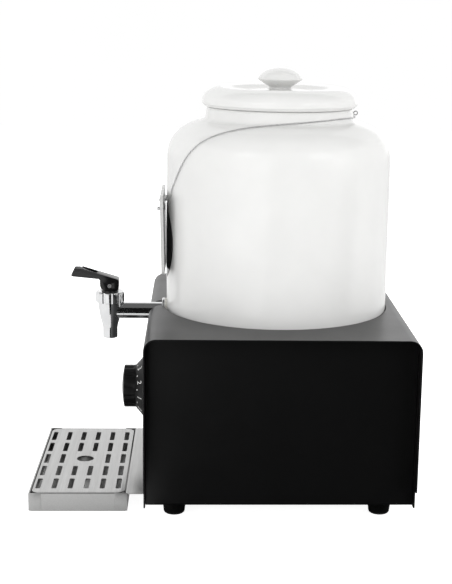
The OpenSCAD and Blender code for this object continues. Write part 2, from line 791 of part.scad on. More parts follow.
module tap_stem() {
    color("#c9a45a") translate([0, tap_y, 0]) difference() {
        union() {
            translate([0, 0, stem_low]) cylinder(d = stem_d, h = tongue_low - stem_low);
            intersection() {
                translate([0, 0, tongue_low - eps]) cylinder(d = stem_d, h = 20);
                translate([-tongue_w / 2, -4, tongue_low - eps]) cube([tongue_w, 8, pivot_z + 3 - tongue_low]);
            }
        }
        translate([-10, 0, pivot_z]) rotate([0, 90, 0]) cylinder(d = pin_d + 2 * fit_gap, h = 20);
    }
}

module seat_cup() {
    color("#e6e3da") translate([0, tap_y, 0]) difference() {
        rotate_extrude() polygon([
            [0, 159.6], [4.6, 158.8], [7.4, 164.4], [7.8, 168], [4.6, 171], [4.2, 176], [0, 176]
        ]);
        translate([0, 0, stem_low - touch]) cylinder(d = stem_d + touch, h = 20);
    }
}

// the cam: an involute, so that the stem rises in step with the lever
function cam(t) =
    let (h = cam_base + cam_k * t * PI / 180)
    [-h * sin(t) - cam_k * cos(t), -h * cos(t) + cam_k * sin(t)];

module lever() {
    color("#131415") translate([0, tap_y, pivot_z]) difference() {
        along_x(lever_w) polygon([
            [7.6, -cam_base], for (t = [0 : 5 : lever_turn]) cam(t),
            [-9.2, -0.5], [-9.5, 1.2], [-9.5, 5.4], [-9.9, 6.5], [-10.8, 6.9], [-36.2, 9.2],
            [-37.4, 9.7], [-37.6, 10.8], [-34.4, 17.6], [-33.6, 18.3], [-29.6, 18.1], [7.6, 6.9],
            [8.6, 6.3], [8.9, 5.3], [8.8, -2.8], [8.3, -4.1]
        ]);
        // the finger scoop, and a slope down each side of the tip
        along_x(2 * scoop_w) polygon([[-27, 15.6], [-12.4, 11.2], [-12.2, 15], [-27.2, 20]]);
        for (s = [-1, 1])
            translate([s * 6.9, -45, 15.9]) rotate([0, s * 22, 0]) translate([-10, 0, 0]) cube([20, 17.8, 10]);
        // the fork's gap for the stem
        translate([-tongue_w / 2 - gap, -12, -11]) cube([tongue_w + 2 * gap, 17.5, 16]);
        translate([-10, 0, 0]) rotate([0, 90, 0]) cylinder(d = pin_d, h = 20);
        // the arm is narrower than the fork
        for (s = [-1, 1]) translate([s * (lever_w / 2 + 3.4) - 4, -50, 0]) cube([8, 38, 40]);
    }
}

module lever_pin() {
    color("#b9bbbd") translate([-lever_w / 2 - 0.2, tap_y, pivot_z]) rotate([0, 90, 0])
        cylinder(d = pin_d, h = lever_w + 0.4);
}

// ---------- plaque and chain ----------
module plaque_place() {
    translate([0, plaque_back_y, plaque_low]) rotate([plaque_tilt, 0, 0]) children();
}

module plaque() {
    r = 6;
    color("#f5f5f3") plaque_place() difference() {
        rotate([90, 0, 0]) linear_extrude(plaque_t) difference() {
            union() {
                translate([-plaque_w / 2 + r, 0]) square([plaque_w - 2 * r, plaque_h]);
                translate([-plaque_w / 2, r]) square([plaque_w, plaque_h - 2 * r]);
                for (x = [-1, 1], y = [r, plaque_h - r])
                    translate([x * (plaque_w / 2 - r), y]) circle(r = r);
            }
            for (x = [-1, 1]) translate([x * stud_x, plaque_h - stud_drop]) circle(r = 1.6, $fn = 32);
        }
    }
}

module plaque_studs() {
    // a bead in front of each hole, and a pin through it to a ring behind
    color("#a5a6a8") plaque_place() for (x = [-1, 1])
        translate([x * stud_x, 0, plaque_h - stud_drop]) {
            translate([0, -plaque_t - 1.7, 0]) sphere(r = 1.9, $fn = 32);
            rotate([90, 0, 0]) translate([0, 0, -1.6]) cylinder(r = 1.1, h = plaque_t + 2.6, $fn = 24);
            translate([0, 1.2, ring_r]) rotate([90, 0, 0])
                rotate_extrude($fn = 48) translate([ring_r, 0]) circle(d = ring_t, $fn = 24);
        }
}

function chain_side(side) = [
    [side * chain_end[0], chain_end[1], chain_end[2]],
    for (q = smooth(chain_route, 4)) on_jar(q[0], q[1], side, chain_off)
];

// from one end of the plaque round the back of the neck to the other
function chain_path() =
    let (right = chain_side(1), left = chain_side(-1))
    concat(left, [for (i = [len(right) - 2 : -1 : 0]) right[i]]);

module plaque_chain() {
    color("#b4b5b6") tube_along(chain_path(), chain_d / 2);
}

module chain_clasp() {
    color("#a9aaac") translate([0, jar_y + neck_at(368) + 2.2, 371.1]) rotate([0, 90, 0])
        rotate_extrude($fn = 48) translate([1.8, 0]) circle(r = 0.55, $fn = 24);
}

// ---------- drip tray ----------
module drip_tray() {
    color("#c9cbcc") {
        difference() {
            translate([-tray_w / 2, tray_front_y, 0]) cube([tray_w, tray_d, tray_h]);
            translate([-tray_w / 2 + tray_sheet, tray_front_y + tray_sheet, tray_sheet])
                cube([tray_w - 2 * tray_sheet, tray_d - 2 * tray_sheet, far]);
        }
        // the ends of the long walls fold over the short ones
        for (x = [-1, 1], y = [tray_front_y, tray_back_y - tab_l])
            translate([x * (tray_w / 2 - tray_sheet - 0.3) - 0.3, y + tray_sheet / 2, tray_sheet / 2])
                cube([0.6, tab_l - tray_sheet / 2, tray_h - tray_sheet / 2]);
        // rear plate, at rim height, that slides under the base
        translate([-tray_w / 2, tray_back_y - tray_sheet, tray_h - tray_sheet])
            cube([tray_w, front_y - tray_back_y + 14, tray_sheet]);
    }
}

module grid_outline(r) {
    translate([-grid_w / 2 + r, -grid_d / 2]) square([grid_w - 2 * r, grid_d]);
    translate([-grid_w / 2, -grid_d / 2 + r]) square([grid_w, grid_d - 2 * r]);
    for (x = [-1, 1], y = [-1, 1])
        translate([x * (grid_w / 2 - r), y * (grid_d / 2 - r)]) circle(r = r, $fn = 48);
}

module grid_slot() {
    translate([-slot_l / 2 + 1, -slot_t / 2]) square([slot_l - 2, slot_t]);
    translate([-slot_l / 2, -slot_t / 2 + 1]) square([slot_l, slot_t - 2]);
    for (x = [-1, 1], y = [-1, 1])
        translate([x * (slot_l / 2 - 1), y * (slot_t / 2 - 1)]) circle(r = 1, $fn = 16);
}

module tray_grid() {
    leg = 9;
    color("#cfd1d2") translate([0, grid_y, grid_top - grid_t]) {
        linear_extrude(grid_t) difference() {
            grid_outline(8);
            for (i = [0 : slot_rows - 1], j = [0 : slot_cols - 1])
                if (i != 2 || (j != 2 && j != 3))
                    translate([(i - 2) * row_pitch, (j - 2.5) * col_pitch + slot_shift]) grid_slot();
            translate([0, slot_shift]) circle(d = drain_d);
        }
        // four folded legs that stand on the tray's floor
        for (x = [-1, 1], y = [-1, 1])
            translate([x * (grid_w / 2 - 14) - leg / 2, y * (grid_d / 2 - 0.5) - 0.5,
                       tray_sheet + gap - grid_top + grid_t])
                cube([leg, 1, grid_top - grid_t - tray_sheet - gap + 0.2]);
    }
}

shell_wrap();
chassis();
shell_screws();
rubber_feet();
foot_screws();
heater_bridges();
plate_standoffs();
heater_plate();
heating_element();
insulation_disc();
thermal_cutout();
thermostat_body();
thermostat_screws();
thermostat_probe();
terminal_block();
cable_gland();
gland_nut();
heater_wires();
thermostat_shaft();
knob_skirt();
knob_grip();
jar();
jar_badge();
lid();
tap_shank();
shank_seals();
shank_washer();
shank_nut();
tap_body();
tap_collar();
tap_bonnet();
tap_stem();
seat_cup();
lever();
lever_pin();
plaque();
plaque_studs();
plaque_chain();
chain_clasp();
drip_tray();
tray_grid();
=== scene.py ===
from math import asin, cos, pi, radians, sin, sqrt, tau

import bmesh
import bpy
from mathutils import Matrix, Vector


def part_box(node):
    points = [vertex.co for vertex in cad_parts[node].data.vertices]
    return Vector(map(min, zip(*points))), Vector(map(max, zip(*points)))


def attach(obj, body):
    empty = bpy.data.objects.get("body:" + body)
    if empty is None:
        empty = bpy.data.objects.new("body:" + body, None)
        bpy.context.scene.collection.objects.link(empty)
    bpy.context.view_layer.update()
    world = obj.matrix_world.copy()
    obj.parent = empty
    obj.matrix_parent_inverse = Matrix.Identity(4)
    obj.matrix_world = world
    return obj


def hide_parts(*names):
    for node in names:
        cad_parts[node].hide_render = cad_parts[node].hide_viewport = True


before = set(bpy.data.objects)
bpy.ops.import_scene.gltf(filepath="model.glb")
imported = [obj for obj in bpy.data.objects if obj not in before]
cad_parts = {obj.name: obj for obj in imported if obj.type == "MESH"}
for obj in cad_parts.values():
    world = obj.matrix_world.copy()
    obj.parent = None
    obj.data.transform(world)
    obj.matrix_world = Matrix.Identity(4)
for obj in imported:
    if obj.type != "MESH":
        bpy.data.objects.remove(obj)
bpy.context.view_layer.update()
MM = 0.001          # pieces are built in millimetres and scaled to metres once they are whole


# ---------- camera, floor and light ----------
def make_camera():
    """The camera stands to the right of the object, a little above it, and looks along -X."""
    place = (1.27915, -0.0226, 0.46685)
    yaw, pitch, roll = -0.0490, 0.2109, 0.0181      # radians
    sideways = -0.058219178     # how far the picture stands off the lens axis, as a share of its longer side
    forward = Vector((-cos(yaw) * cos(pitch), -sin(yaw) * cos(pitch), -sin(pitch)))
    level = forward.cross(Vector((0, 0, 1))).normalized()
    upright = level.cross(forward)
    right = cos(roll) * level + sin(roll) * upright
    up = cos(roll) * upright - sin(roll) * level
    data = bpy.data.cameras.new("camera")
    data.lens, data.sensor_width = 81.09, 36
    data.shift_x = sideways
    data.clip_start, data.clip_end = 0.05, 60
    camera = bpy.data.objects.new("camera", data)
    bpy.context.scene.collection.objects.link(camera)
    turned = Matrix((right, up, -forward)).transposed().to_4x4()
    camera.matrix_world = Matrix.Translation(place) @ turned
    bpy.context.scene.camera = camera


def make_world(strength):
    world = bpy.data.worlds.new("studio")
    world.use_nodes = True
    background = world.node_tree.nodes["Background"]
    background.inputs["Color"].default_value = (1, 1, 1, 1)
    background.inputs["Strength"].default_value = strength
    bpy.context.scene.world = world
    bpy.context.scene.view_settings.view_transform = "Standard"


def soft_box(name, place, target, size, radiance, shows=True):
    """A rectangular studio light at place that faces target. Unless it shows, reflections leave it out."""
    data = bpy.data.lights.new(name, "AREA")
    data.shape = "RECTANGLE"
    data.size, data.size_y = size
    data.energy = radiance * pi * size[0] * size[1]
    light = bpy.data.objects.new(name, data)
    bpy.context.scene.collection.objects.link(light)
    light.location = place
    light.rotation_mode = "QUATERNION"
    light.rotation_quaternion = (Vector(target) - Vector(place)).to_track_quat("-Z", "Y")
    light.visible_camera = False
    light.visible_glossy = shows


def card(name, corners, mat, camera=False, diffuse=False, glossy=True):
    """A flat board of the studio. Most of them only show in reflections."""
    mesh = bpy.data.meshes.new(name)
    mesh.from_pydata(corners, [], [range(len(corners))])
    mesh.materials.append(mat)
    board = bpy.data.objects.new(name, mesh)
    bpy.context.scene.collection.objects.link(board)
    board.visible_camera, board.visible_diffuse, board.visible_glossy = camera, diffuse, glossy
    board.visible_shadow = board.visible_transmission = False


def level_card(name, x, y, z, mat, **seen):
    card(name, [(x[0], y[0], z), (x[1], y[0], z), (x[1], y[1], z), (x[0], y[1], z)], mat, **seen)


def wall_card(name, x, y, z, mat, **seen):
    card(name, [(x, y[0], z[0]), (x, y[1], z[0]), (x, y[1], z[1]), (x, y[0], z[1])], mat, **seen)


def side_card(name, x, y, z, mat, **seen):
    card(name, [(x[0], y, z[0]), (x[1], y, z[0]), (x[1], y, z[1]), (x[0], y, z[1])], mat, **seen)


def glow_material(name, level, paper=0.0):
    """An even board that gives off level of white, on top of what paper sends back."""
    mat, shader = new_material(name, (paper, paper, paper), 1.0)
    shader.inputs["Specular IOR Level"].default_value = 0.0
    shader.inputs["Emission Color"].default_value = (1, 1, 1, 1)
    shader.inputs["Emission Strength"].default_value = level
    fleck = 0.004
    vary_colour(mat, shader, noise_of(mat, 900), (paper,) * 3, (paper + fleck,) * 3)
    return mat


def make_floor():
    """White paper: the sheet the camera sees, and the one that sends light back to the object."""
    reach, below = (-12, 12), -0.0005
    level_card("floor", reach, reach, 0, glow_material("floor_paper", 0.9, 0.8), camera=True, glossy=False)
    level_card("floor_bounce", reach, reach, below, glow_material("bounce_paper", 0.16, 0.72), diffuse=True)


def make_lights():
    """Lights for the object, and the boards that its chrome and glaze reflect."""
    aim, low_aim, front_aim = (0, 0.03, 0.3), (0, 0.05, 0.25), (0, 0.05, 0.22)
    low_size = (1.0, 0.9)
    soft_box("key", (1.25, 1.1, 1.15), aim, (0.6, 0.6), 1.8)
    soft_box("fill", (1.25, -1.0, 1.2), aim, (0.45, 0.45), 1.5)
    soft_box("back", (-1.3, -0.1, 1.25), aim, (0.9, 0.6), 2.8, shows=False)
    soft_box("front", (1.7, 0.35, 0.6), front_aim, (1.6, 1.2), 0.05, shows=False)
    soft_box("low_left", (1.2, -1.3, 0.35), low_aim, low_size, 2.7, shows=False)
    soft_box("low_right", (1.2, 1.45, 0.35), low_aim, low_size, 2.9, shows=False)
    dark, grey = glow_material("dark_room", 0.006), glow_material("grey_room", 0.13)
    white, bright = glow_material("white_room", 0.86), glow_material("bright_room", 1.4)
    # the dark floor's left edge points away from the tap, so that the tap's left half reflects the white paper
    on_floor, on_board = 0.002, 0.0025
    board = [(0.27, -0.12), (0.7, -0.17), (3, -0.5), (3, 3), (0.27, 3)]
    card("board_low", [(x, y, on_floor) for x, y in board], dark)
    level_card("board_near", (0.09, 0.28), (-0.066, 0.5), on_board, dark)
    room_x, room_y, room_z = (-1.6, 2.4), -2.6, (0, 2.5)
    wall_card("board_side", room_x[1], (-0.4, 3), room_z, dark)
    wall_card("board_left", room_x[1], (-3, -0.4), room_z, white)
    side_card("left_wall", room_x, room_y, room_z, white)
    level_card("ceiling", (room_x[0], 3), (room_y, 3), room_z[1], grey)
    wall_card("board_back", -1.5, (0.02, 1.3), (0.3, 0.8), bright)
    wall_card("backdrop", -4, (-9, 9), (-0.2, 6), glow_material("backdrop_paper", 1.0), camera=True)


# ---------- materials ----------
def new_material(name, colour, rough, metal=0.0):
    mat = bpy.data.materials.new(name)
    mat.use_nodes = True
    shader = mat.node_tree.nodes["Principled BSDF"]
    shader.inputs["Base Color"].default_value = (*colour, 1)
    shader.inputs["Roughness"].default_value = rough
    shader.inputs["Metallic"].default_value = metal
    return mat, shader


def noise_of(mat, size, stretch=(1, 1, 1), detail=3):
    """Noise in the row frame with features of about size mm, drawn out along the axes by stretch."""
    tree = mat.node_tree
    place = tree.nodes.new("ShaderNodeTexCoord")
    scaled = tree.nodes.new("ShaderNodeMapping")
    scaled.inputs["Scale"].default_value = [1 / s for s in stretch]
    field = tree.nodes.new("ShaderNodeTexNoise")
    field.inputs["Scale"].default_value = 1 / (size * MM)
    field.inputs["Detail"].default_value = detail
    tree.links.new(place.outputs["Object"], scaled.inputs["Vector"])
    tree.links.new(scaled.outputs["Vector"], field.inputs["Vector"])
    return field.outputs[0]


def vary_rough(mat, shader, field, low, high):
    """Roughness that follows a field between low and high."""
    tree = mat.node_tree
    ramp = tree.nodes.new("ShaderNodeMapRange")
    ramp.inputs["From Min"].default_value, ramp.inputs["From Max"].default_value = 0.3, 0.7
    ramp.inputs["To Min"].default_value, ramp.inputs["To Max"].default_value = low, high
    tree.links.new(field, ramp.inputs["Value"])
    tree.links.new(ramp.outputs["Result"], shader.inputs["Roughness"])


def vary_colour(mat, shader, field, dark, light, edges=(0.35, 0.65)):
    """Colour that follows a field, dark below the first edge and light above the second."""
    tree = mat.node_tree
    ramp = tree.nodes.new("ShaderNodeValToRGB")
    for stop, place, colour in zip(ramp.color_ramp.elements, edges, (dark, light)):
        stop.position, stop.color = place, (*colour, 1)
    tree.links.new(field, ramp.inputs["Fac"])
    tree.links.new(ramp.outputs["Color"], shader.inputs["Base Color"])


def add_bump(mat, shader, field, depth):
    """Bumps depth mm deep, on top of any the material has already."""
    tree = mat.node_tree
    bump = tree.nodes.new("ShaderNodeBump")
    bump.inputs["Distance"].default_value = depth * MM
    bump.inputs["Strength"].default_value = 1.0
    tree.links.new(field, bump.inputs["Height"])
    if shader.inputs["Normal"].is_linked:
        tree.links.new(shader.inputs["Normal"].links[0].from_socket, bump.inputs["Normal"])
    tree.links.new(bump.outputs["Normal"], shader.inputs["Normal"])


def shade(colour, by):
    return tuple(c * by for c in colour)


def powder_coat():
    colour = (0.003, 0.003, 0.0032)
    mat, shader = new_material("powder_coat", colour, 0.34)
    shader.inputs["Specular IOR Level"].default_value = 0.48
    vary_rough(mat, shader, noise_of(mat, 40), 0.32, 0.36)
    vary_colour(mat, shader, noise_of(mat, 1.1, detail=4), shade(colour, 0.75), shade(colour, 1.3))
    add_bump(mat, shader, noise_of(mat, 1.6, detail=1), 0.012)
    add_bump(mat, shader, noise_of(mat, 0.6, detail=1), 0.006)
    return mat


def glaze(name, colour, rough=0.13, wave=0.35):
    """Gloss glaze: even colour, slow waves in the surface and a little orange peel."""
    mat, shader = new_material(name, colour, rough)
    shader.inputs["IOR"].default_value = 1.5
    vary_colour(mat, shader, noise_of(mat, 30), shade(colour, 0.985), shade(colour, 1.01))
    vary_rough(mat, shader, noise_of(mat, 14), rough - 0.02, rough + 0.04)
    add_bump(mat, shader, noise_of(mat, 34, detail=1), wave)
    add_bump(mat, shader, noise_of(mat, 5, detail=1), 0.018)
    return mat


def chrome(name="bright_chrome", colour=(0.83, 0.835, 0.84), rough=0.06):
    mat, shader = new_material(name, colour, rough, 1.0)
    vary_rough(mat, shader, noise_of(mat, 4), rough - 0.02, rough + 0.04)
    vary_colour(mat, shader, noise_of(mat, 7), shade(colour, 0.97), shade(colour, 1.02))
    add_bump(mat, shader, noise_of(mat, 6, detail=1), 0.012)
    return mat


def brushed(name, colour, rough, along=(60, 1, 1), size=0.5):
    """Metal with a fine grain, drawn out along the axes by along."""
    mat, shader = new_material(name, colour, rough, 1.0)
    grain = noise_of(mat, size, along, detail=4)
    vary_colour(mat, shader, grain, shade(colour, 0.93), shade(colour, 1.05))
    vary_rough(mat, shader, noise_of(mat, size * 6, along), rough - 0.05, rough + 0.06)
    add_bump(mat, shader, grain, 0.006)
    return mat


def turned_metal(name, colour, rough):
    """Metal with a lathe's fine rings about the jar's vertical axis."""
    mat, shader = new_material(name, colour, rough, 1.0)
    tree = mat.node_tree
    place = tree.nodes.new("ShaderNodeTexCoord")
    shift = tree.nodes.new("ShaderNodeMapping")
    shift.inputs["Location"].default_value = (0, -JAR_Y * MM, 0)
    rings = tree.nodes.new("ShaderNodeTexWave")
    rings.wave_type, rings.rings_direction = "RINGS", "Z"
    rings_scale, waver = 420, 1.2
    rings.inputs["Scale"].default_value = rings_scale
    rings.inputs["Distortion"].default_value = waver
    tree.links.new(place.outputs["Object"], shift.inputs["Vector"])
    tree.links.new(shift.outputs["Vector"], rings.inputs["Vector"])
    vary_colour(mat, shader, rings.outputs["Fac"], shade(colour, 0.86), shade(colour, 1.05))
    vary_rough(mat, shader, noise_of(mat, 12), rough - 0.05, rough + 0.08)
    add_bump(mat, shader, rings.outputs["Fac"], 0.02)
    return mat


def galvanised():
    colour = (0.5, 0.52, 0.54)
    mat, shader = new_material("galvanised", colour, 0.4, 1.0)
    tree = mat.node_tree
    place = tree.nodes.new("ShaderNodeTexCoord")
    cells = tree.nodes.new("ShaderNodeTexVoronoi")
    spangle = 6
    cells.inputs["Scale"].default_value = 1 / (spangle * MM)
    tree.links.new(place.outputs["Object"], cells.inputs["Vector"])
    vary_colour(mat, shader, cells.outputs["Distance"], shade(colour, 1.15), shade(colour, 0.75), (0.1, 0.8))
    vary_rough(mat, shader, noise_of(mat, 5), 0.3, 0.5)
    add_bump(mat, shader, cells.outputs["Distance"], 0.01)
    return mat


def plastic(name, colour, rough, grain=0.4, depth=0.01, specular=0.5):
    mat, shader = new_material(name, colour, rough)
    shader.inputs["Specular IOR Level"].default_value = specular
    vary_colour(mat, shader, noise_of(mat, 3), shade(colour, 0.85), shade(colour, 1.15))
    vary_rough(mat, shader, noise_of(mat, 5), rough - 0.04, rough + 0.05)
    add_bump(mat, shader, noise_of(mat, grain, detail=2), depth)
    return mat


def rubber(name, colour, rough):
    return plastic(name, colour, rough, grain=0.8, depth=0.03, specular=0.3)


def stained(name, colour, other, rough):
    """Metal that has taken on a second tone in patches."""
    size = 8
    mat, shader = new_material(name, colour, rough, 1.0)
    vary_colour(mat, shader, noise_of(mat, size, detail=5), other, colour, (0.35, 0.6))
    vary_rough(mat, shader, noise_of(mat, size / 2), rough - 0.06, rough + 0.12)
    add_bump(mat, shader, noise_of(mat, 1), 0.01)
    return mat


def mineral_wool():
    mat, shader = new_material("mineral_wool", (0.62, 0.56, 0.42), 0.95)
    fibres = noise_of(mat, 1.2, (6, 1, 1), detail=6)
    vary_colour(mat, shader, fibres, (0.5, 0.44, 0.31), (0.74, 0.69, 0.55))
    add_bump(mat, shader, fibres, 0.4)
    add_bump(mat, shader, noise_of(mat, 9), 0.8)
    return mat


# ---------- meshes ----------
def box_mm(node):
    low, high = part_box(node)
    return low / MM, high / MM


JAR_LOW, JAR_HIGH = box_mm("jar")
JAR_Y = (JAR_LOW.y + JAR_HIGH.y) / 2
JAR_R = (JAR_HIGH.y - JAR_LOW.y) / 2


def revolve(bm, profile, centre, axis="Z", steps=128, ring=False, wobble=None):
    """Turns a profile of (radius, height) points round an axis. A ring's profile joins up with itself.
    wobble(angle, radius, height) may give another radius."""
    def place(r, h, a):
        if wobble:
            r = wobble(a, r, h)
        u, v = r * cos(a), r * sin(a)
        if axis == "Z":
            return centre[0] + u, centre[1] + v, h
        if axis == "Y":
            return centre[0] + u, h, centre[1] + v
        return h, centre[0] + u, centre[1] + v
    rows = []
    for r, h in profile:
        count = 1 if r < 1e-6 else steps
        rows.append([bm.verts.new(place(r, h, tau * k / steps)) for k in range(count)])
    for a, b in list(zip(rows, rows[1:])) + ([(rows[-1], rows[0])] if ring else []):
        for k in range(steps):
            k2 = (k + 1) % steps
            corners = []
            for v in (a[k % len(a)], a[k2 % len(a)], b[k2 % len(b)], b[k % len(b)]):
                if v not in corners:
                    corners.append(v)
            if len(corners) > 2:
                bm.faces.new(corners)


def skin(bm, loops):
    """Faces between loops that have the same number of points, closed at the first and the last."""
    rows = [[bm.verts.new(p) for p in loop] for loop in loops]
    for a, b in zip(rows, rows[1:]):
        for k in range(len(a)):
            k2 = (k + 1) % len(a)
            bm.faces.new((a[k], a[k2], b[k2], b[k]))
    bm.faces.new(rows[0][::-1])
    bm.faces.new(rows[-1])


def arc(cx, cy, r, start, end, count, ry=None):
    """Points of an arc in degrees, from start to end."""
    ry = r if ry is None else ry
    angles = [radians(start + (end - start) * i / count) for i in range(count + 1)]
    return [(cx + r * cos(a), cy + ry * sin(a)) for a in angles]


def smooth_line(points, count=4):
    """A curve through points of any dimension, with count steps between two of them."""
    line = []
    for i in range(len(points) - 1):
        a, b, c, d = (points[max(0, min(len(points) - 1, i + k))] for k in (-1, 0, 1, 2))
        for j in range(count):
            t = j / count
            line.append(tuple(
                0.5 * (2 * q + (r - p) * t + (2 * p - 5 * q + 4 * r - s) * t * t
                       + (3 * q - p - 3 * r + s) * t ** 3)
                for p, q, r, s in zip(a, b, c, d)))
    line.append(tuple(points[-1]))
    return line


def rounded_rect(cx, cy, w, d, r, count=6):
    """Points of a rectangle with rounded corners, anticlockwise."""
    r = max(r, 0.05)
    x, y = w / 2 - r, d / 2 - r
    points = []
    for sx, sy, start in ((1, 1, 0), (-1, 1, 90), (-1, -1, 180), (1, -1, 270)):
        points += arc(cx + sx * x, cy + sy * y, r, start, start + 90, count)
    return points


def loose(name, bm):
    """An object of its own from a bmesh, still in millimetres."""
    bmesh.ops.remove_doubles(bm, verts=bm.verts, dist=1e-4)
    bmesh.ops.recalc_face_normals(bm, faces=bm.faces)
    mesh = bpy.data.meshes.new(name)
    bm.to_mesh(mesh)
    bm.free()
    obj = bpy.data.objects.new(name, mesh)
    bpy.context.scene.collection.objects.link(obj)
    return obj


def curve_mesh(name, curve):
    """The mesh of a text or curve, still in millimetres."""
    holder = bpy.data.objects.new(name, curve)
    bpy.context.scene.collection.objects.link(holder)
    bpy.context.view_layer.update()
    mesh = bpy.data.meshes.new_from_object(holder.evaluated_get(bpy.context.evaluated_depsgraph_get()))
    bpy.data.objects.remove(holder)
    return mesh


def settle(obj):
    """Applies the object's modifiers to its mesh."""
    bpy.context.view_layer.update()
    made = bpy.data.meshes.new_from_object(obj.evaluated_get(bpy.context.evaluated_depsgraph_get()))
    obj.modifiers.clear()
    obj.data = made


def boolean(obj, other, operation="DIFFERENCE"):
    """Cuts other out of obj, or joins the two, and removes other."""
    cut = obj.modifiers.new("cut", "BOOLEAN")
    cut.operation, cut.solver, cut.object = operation, "EXACT", other
    settle(obj)
    bpy.data.objects.remove(other)


def round_edges(obj, width, segments=3, angle=35, unit=1.0):
    """Bevels the edges sharper than angle; unit is MM for a mesh in metres."""
    bevel = obj.modifiers.new("round", "BEVEL")
    bevel.width, bevel.segments = width * unit, segments
    bevel.limit_method, bevel.angle_limit = "ANGLE", radians(angle)
    bevel.use_clamp_overlap = True
    bevel.miter_outer = "MITER_ARC"


def piece(obj, body, slot, *materials, replaces=(), sharp=32):
    """Scales a finished shape to metres, shades it and gives it to its body."""
    obj.data.transform(Matrix.Scale(MM, 4))
    obj.data.materials.clear()
    for mat in materials:
        obj.data.materials.append(mat)
    obj.data.shade_smooth()
    obj.data.set_sharp_from_angle(angle=radians(sharp))
    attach(obj, body)
    if replaces:
        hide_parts(*replaces)
    return obj


def prism(points, low, high, axis="X"):
    """A bmesh prism of points (Y, Z) along X, of (X, Z) along Y, or of (X, Y) along Z."""
    bm = bmesh.new()
    if axis == "X":
        skin(bm, [[(low, y, z) for y, z in points], [(high, y, z) for y, z in points]])
    elif axis == "Y":
        skin(bm, [[(x, low, z) for x, z in points], [(x, high, z) for x, z in points]])
    else:
        skin(bm, [[(x, y, low) for x, y in points], [(x, y, high) for x, y in points]])
    return bm


def bar(centre, r, low, high, axis="Y", steps=64):
    """A bmesh round bar along an axis, from low to high."""
    bm = bmesh.new()
    revolve(bm, [(0, low), (r, low), (r, high), (0, high)], centre, axis, steps)
    return bm


# ---------- jar and lid ----------
SHOULDER_LOW, SHOULDER_TOP, SHOULDER_R0, SHOULDER_POWER = 324, 365.4, 41, 2.7
NECK_R, NECK_TOP, NECK_FLARE, WALL = 70.5, 376, 2, 8
MOUTH_R = NECK_R - WALL
SHANK_Z, SHANK_R, SHANK_BORE = 173.3, 8.3, 5.5
WASHER_R = 12.7


def shoulder(r, low, top, angle):
    """A point of the superellipse that rounds the shoulder, 0 degrees at the wall."""
    a = radians(angle)
    return (SHOULDER_R0 + (r - SHOULDER_R0) * cos(a) ** (2 / SHOULDER_POWER),
            low + (top - low) * sin(a) ** (2 / SHOULDER_POWER))


def shoulder_at(z):
    t = min(1, max(0, (z - SHOULDER_LOW) / (SHOULDER_TOP - SHOULDER_LOW)))
    return SHOULDER_R0 + (JAR_R - SHOULDER_R0) * (1 - t ** SHOULDER_POWER) ** (1 / SHOULDER_POWER)


def neck_at(z):
    return NECK_R + NECK_FLARE * max(0, (NECK_TOP - z) / (NECK_TOP - 362))


def jar_profile():
    """Outside from the foot up to the rim, then down the inside."""
    low = JAR_LOW.z
    floor = low + 9
    outside = [(0, low + 1.2), (JAR_R - 22, low + 1.2), (JAR_R - 19.5, low), (JAR_R - 9, low)]
    outside += arc(JAR_R - 8, low + 8, 8, -84, 0, 12)
    outside += [(JAR_R, z) for z in (190, 230, 280, SHOULDER_LOW)]
    curve = [shoulder(JAR_R, SHOULDER_LOW, SHOULDER_TOP, a / 2) for a in range(4, 180)]
    outside += [p for p in curve if p[0] > neck_at(p[1]) + 2.4]
    outside += [(neck_at(365) + 1.6, 363.4), (neck_at(365) + 0.85, 363.85), (neck_at(365) + 0.3, 364.4),
                (neck_at(365.4), 365.4)]
    outside += [(neck_at(z), z) for z in (368, 371, 374)]
    rim = arc(NECK_R - 2, NECK_TOP - 2, 2, 0, 90, 6) + arc(MOUTH_R + 2, NECK_TOP - 2, 2, 90, 180, 6)
    inner_r, inner_low = JAR_R - WALL, SHOULDER_LOW - 2
    inside = [(MOUTH_R, 368), (MOUTH_R, 364)]
    curve = [shoulder(inner_r, inner_low, SHOULDER_TOP - WALL, a / 2) for a in range(176, 3, -2)]
    inside += [p for p in curve if p[0] > MOUTH_R + 1]
    inside += [(inner_r, z) for z in (inner_low, 280, 230, 190)]
    inside += arc(inner_r - 12, floor + 12, 12, 0, -90, 10) + [(0, floor)]
    return outside + rim + inside


def make_jar(white):
    bm = bmesh.new()
    revolve(bm, jar_profile(), (0, JAR_Y), steps=256)
    jar = loose("jar_body", bm)
    front, inside = JAR_Y - JAR_R, JAR_Y - JAR_R + WALL
    flat, clear = 0.8, 5     # depth of the flats under washer and seal, and how far a cutter starts outside
    for r, low, high in ((WASHER_R + 0.3, front - clear, front + flat), (WASHER_R + 1.5, inside - flat, inside + 9),
                         (SHANK_R + 0.2, front - clear, front + 30)):
        boolean(jar, loose("cutter", bar((0, SHANK_Z), r, low, high, steps=96)))
    return piece(jar, "crock", "white_glaze", white, replaces=["jar"], sharp=38)


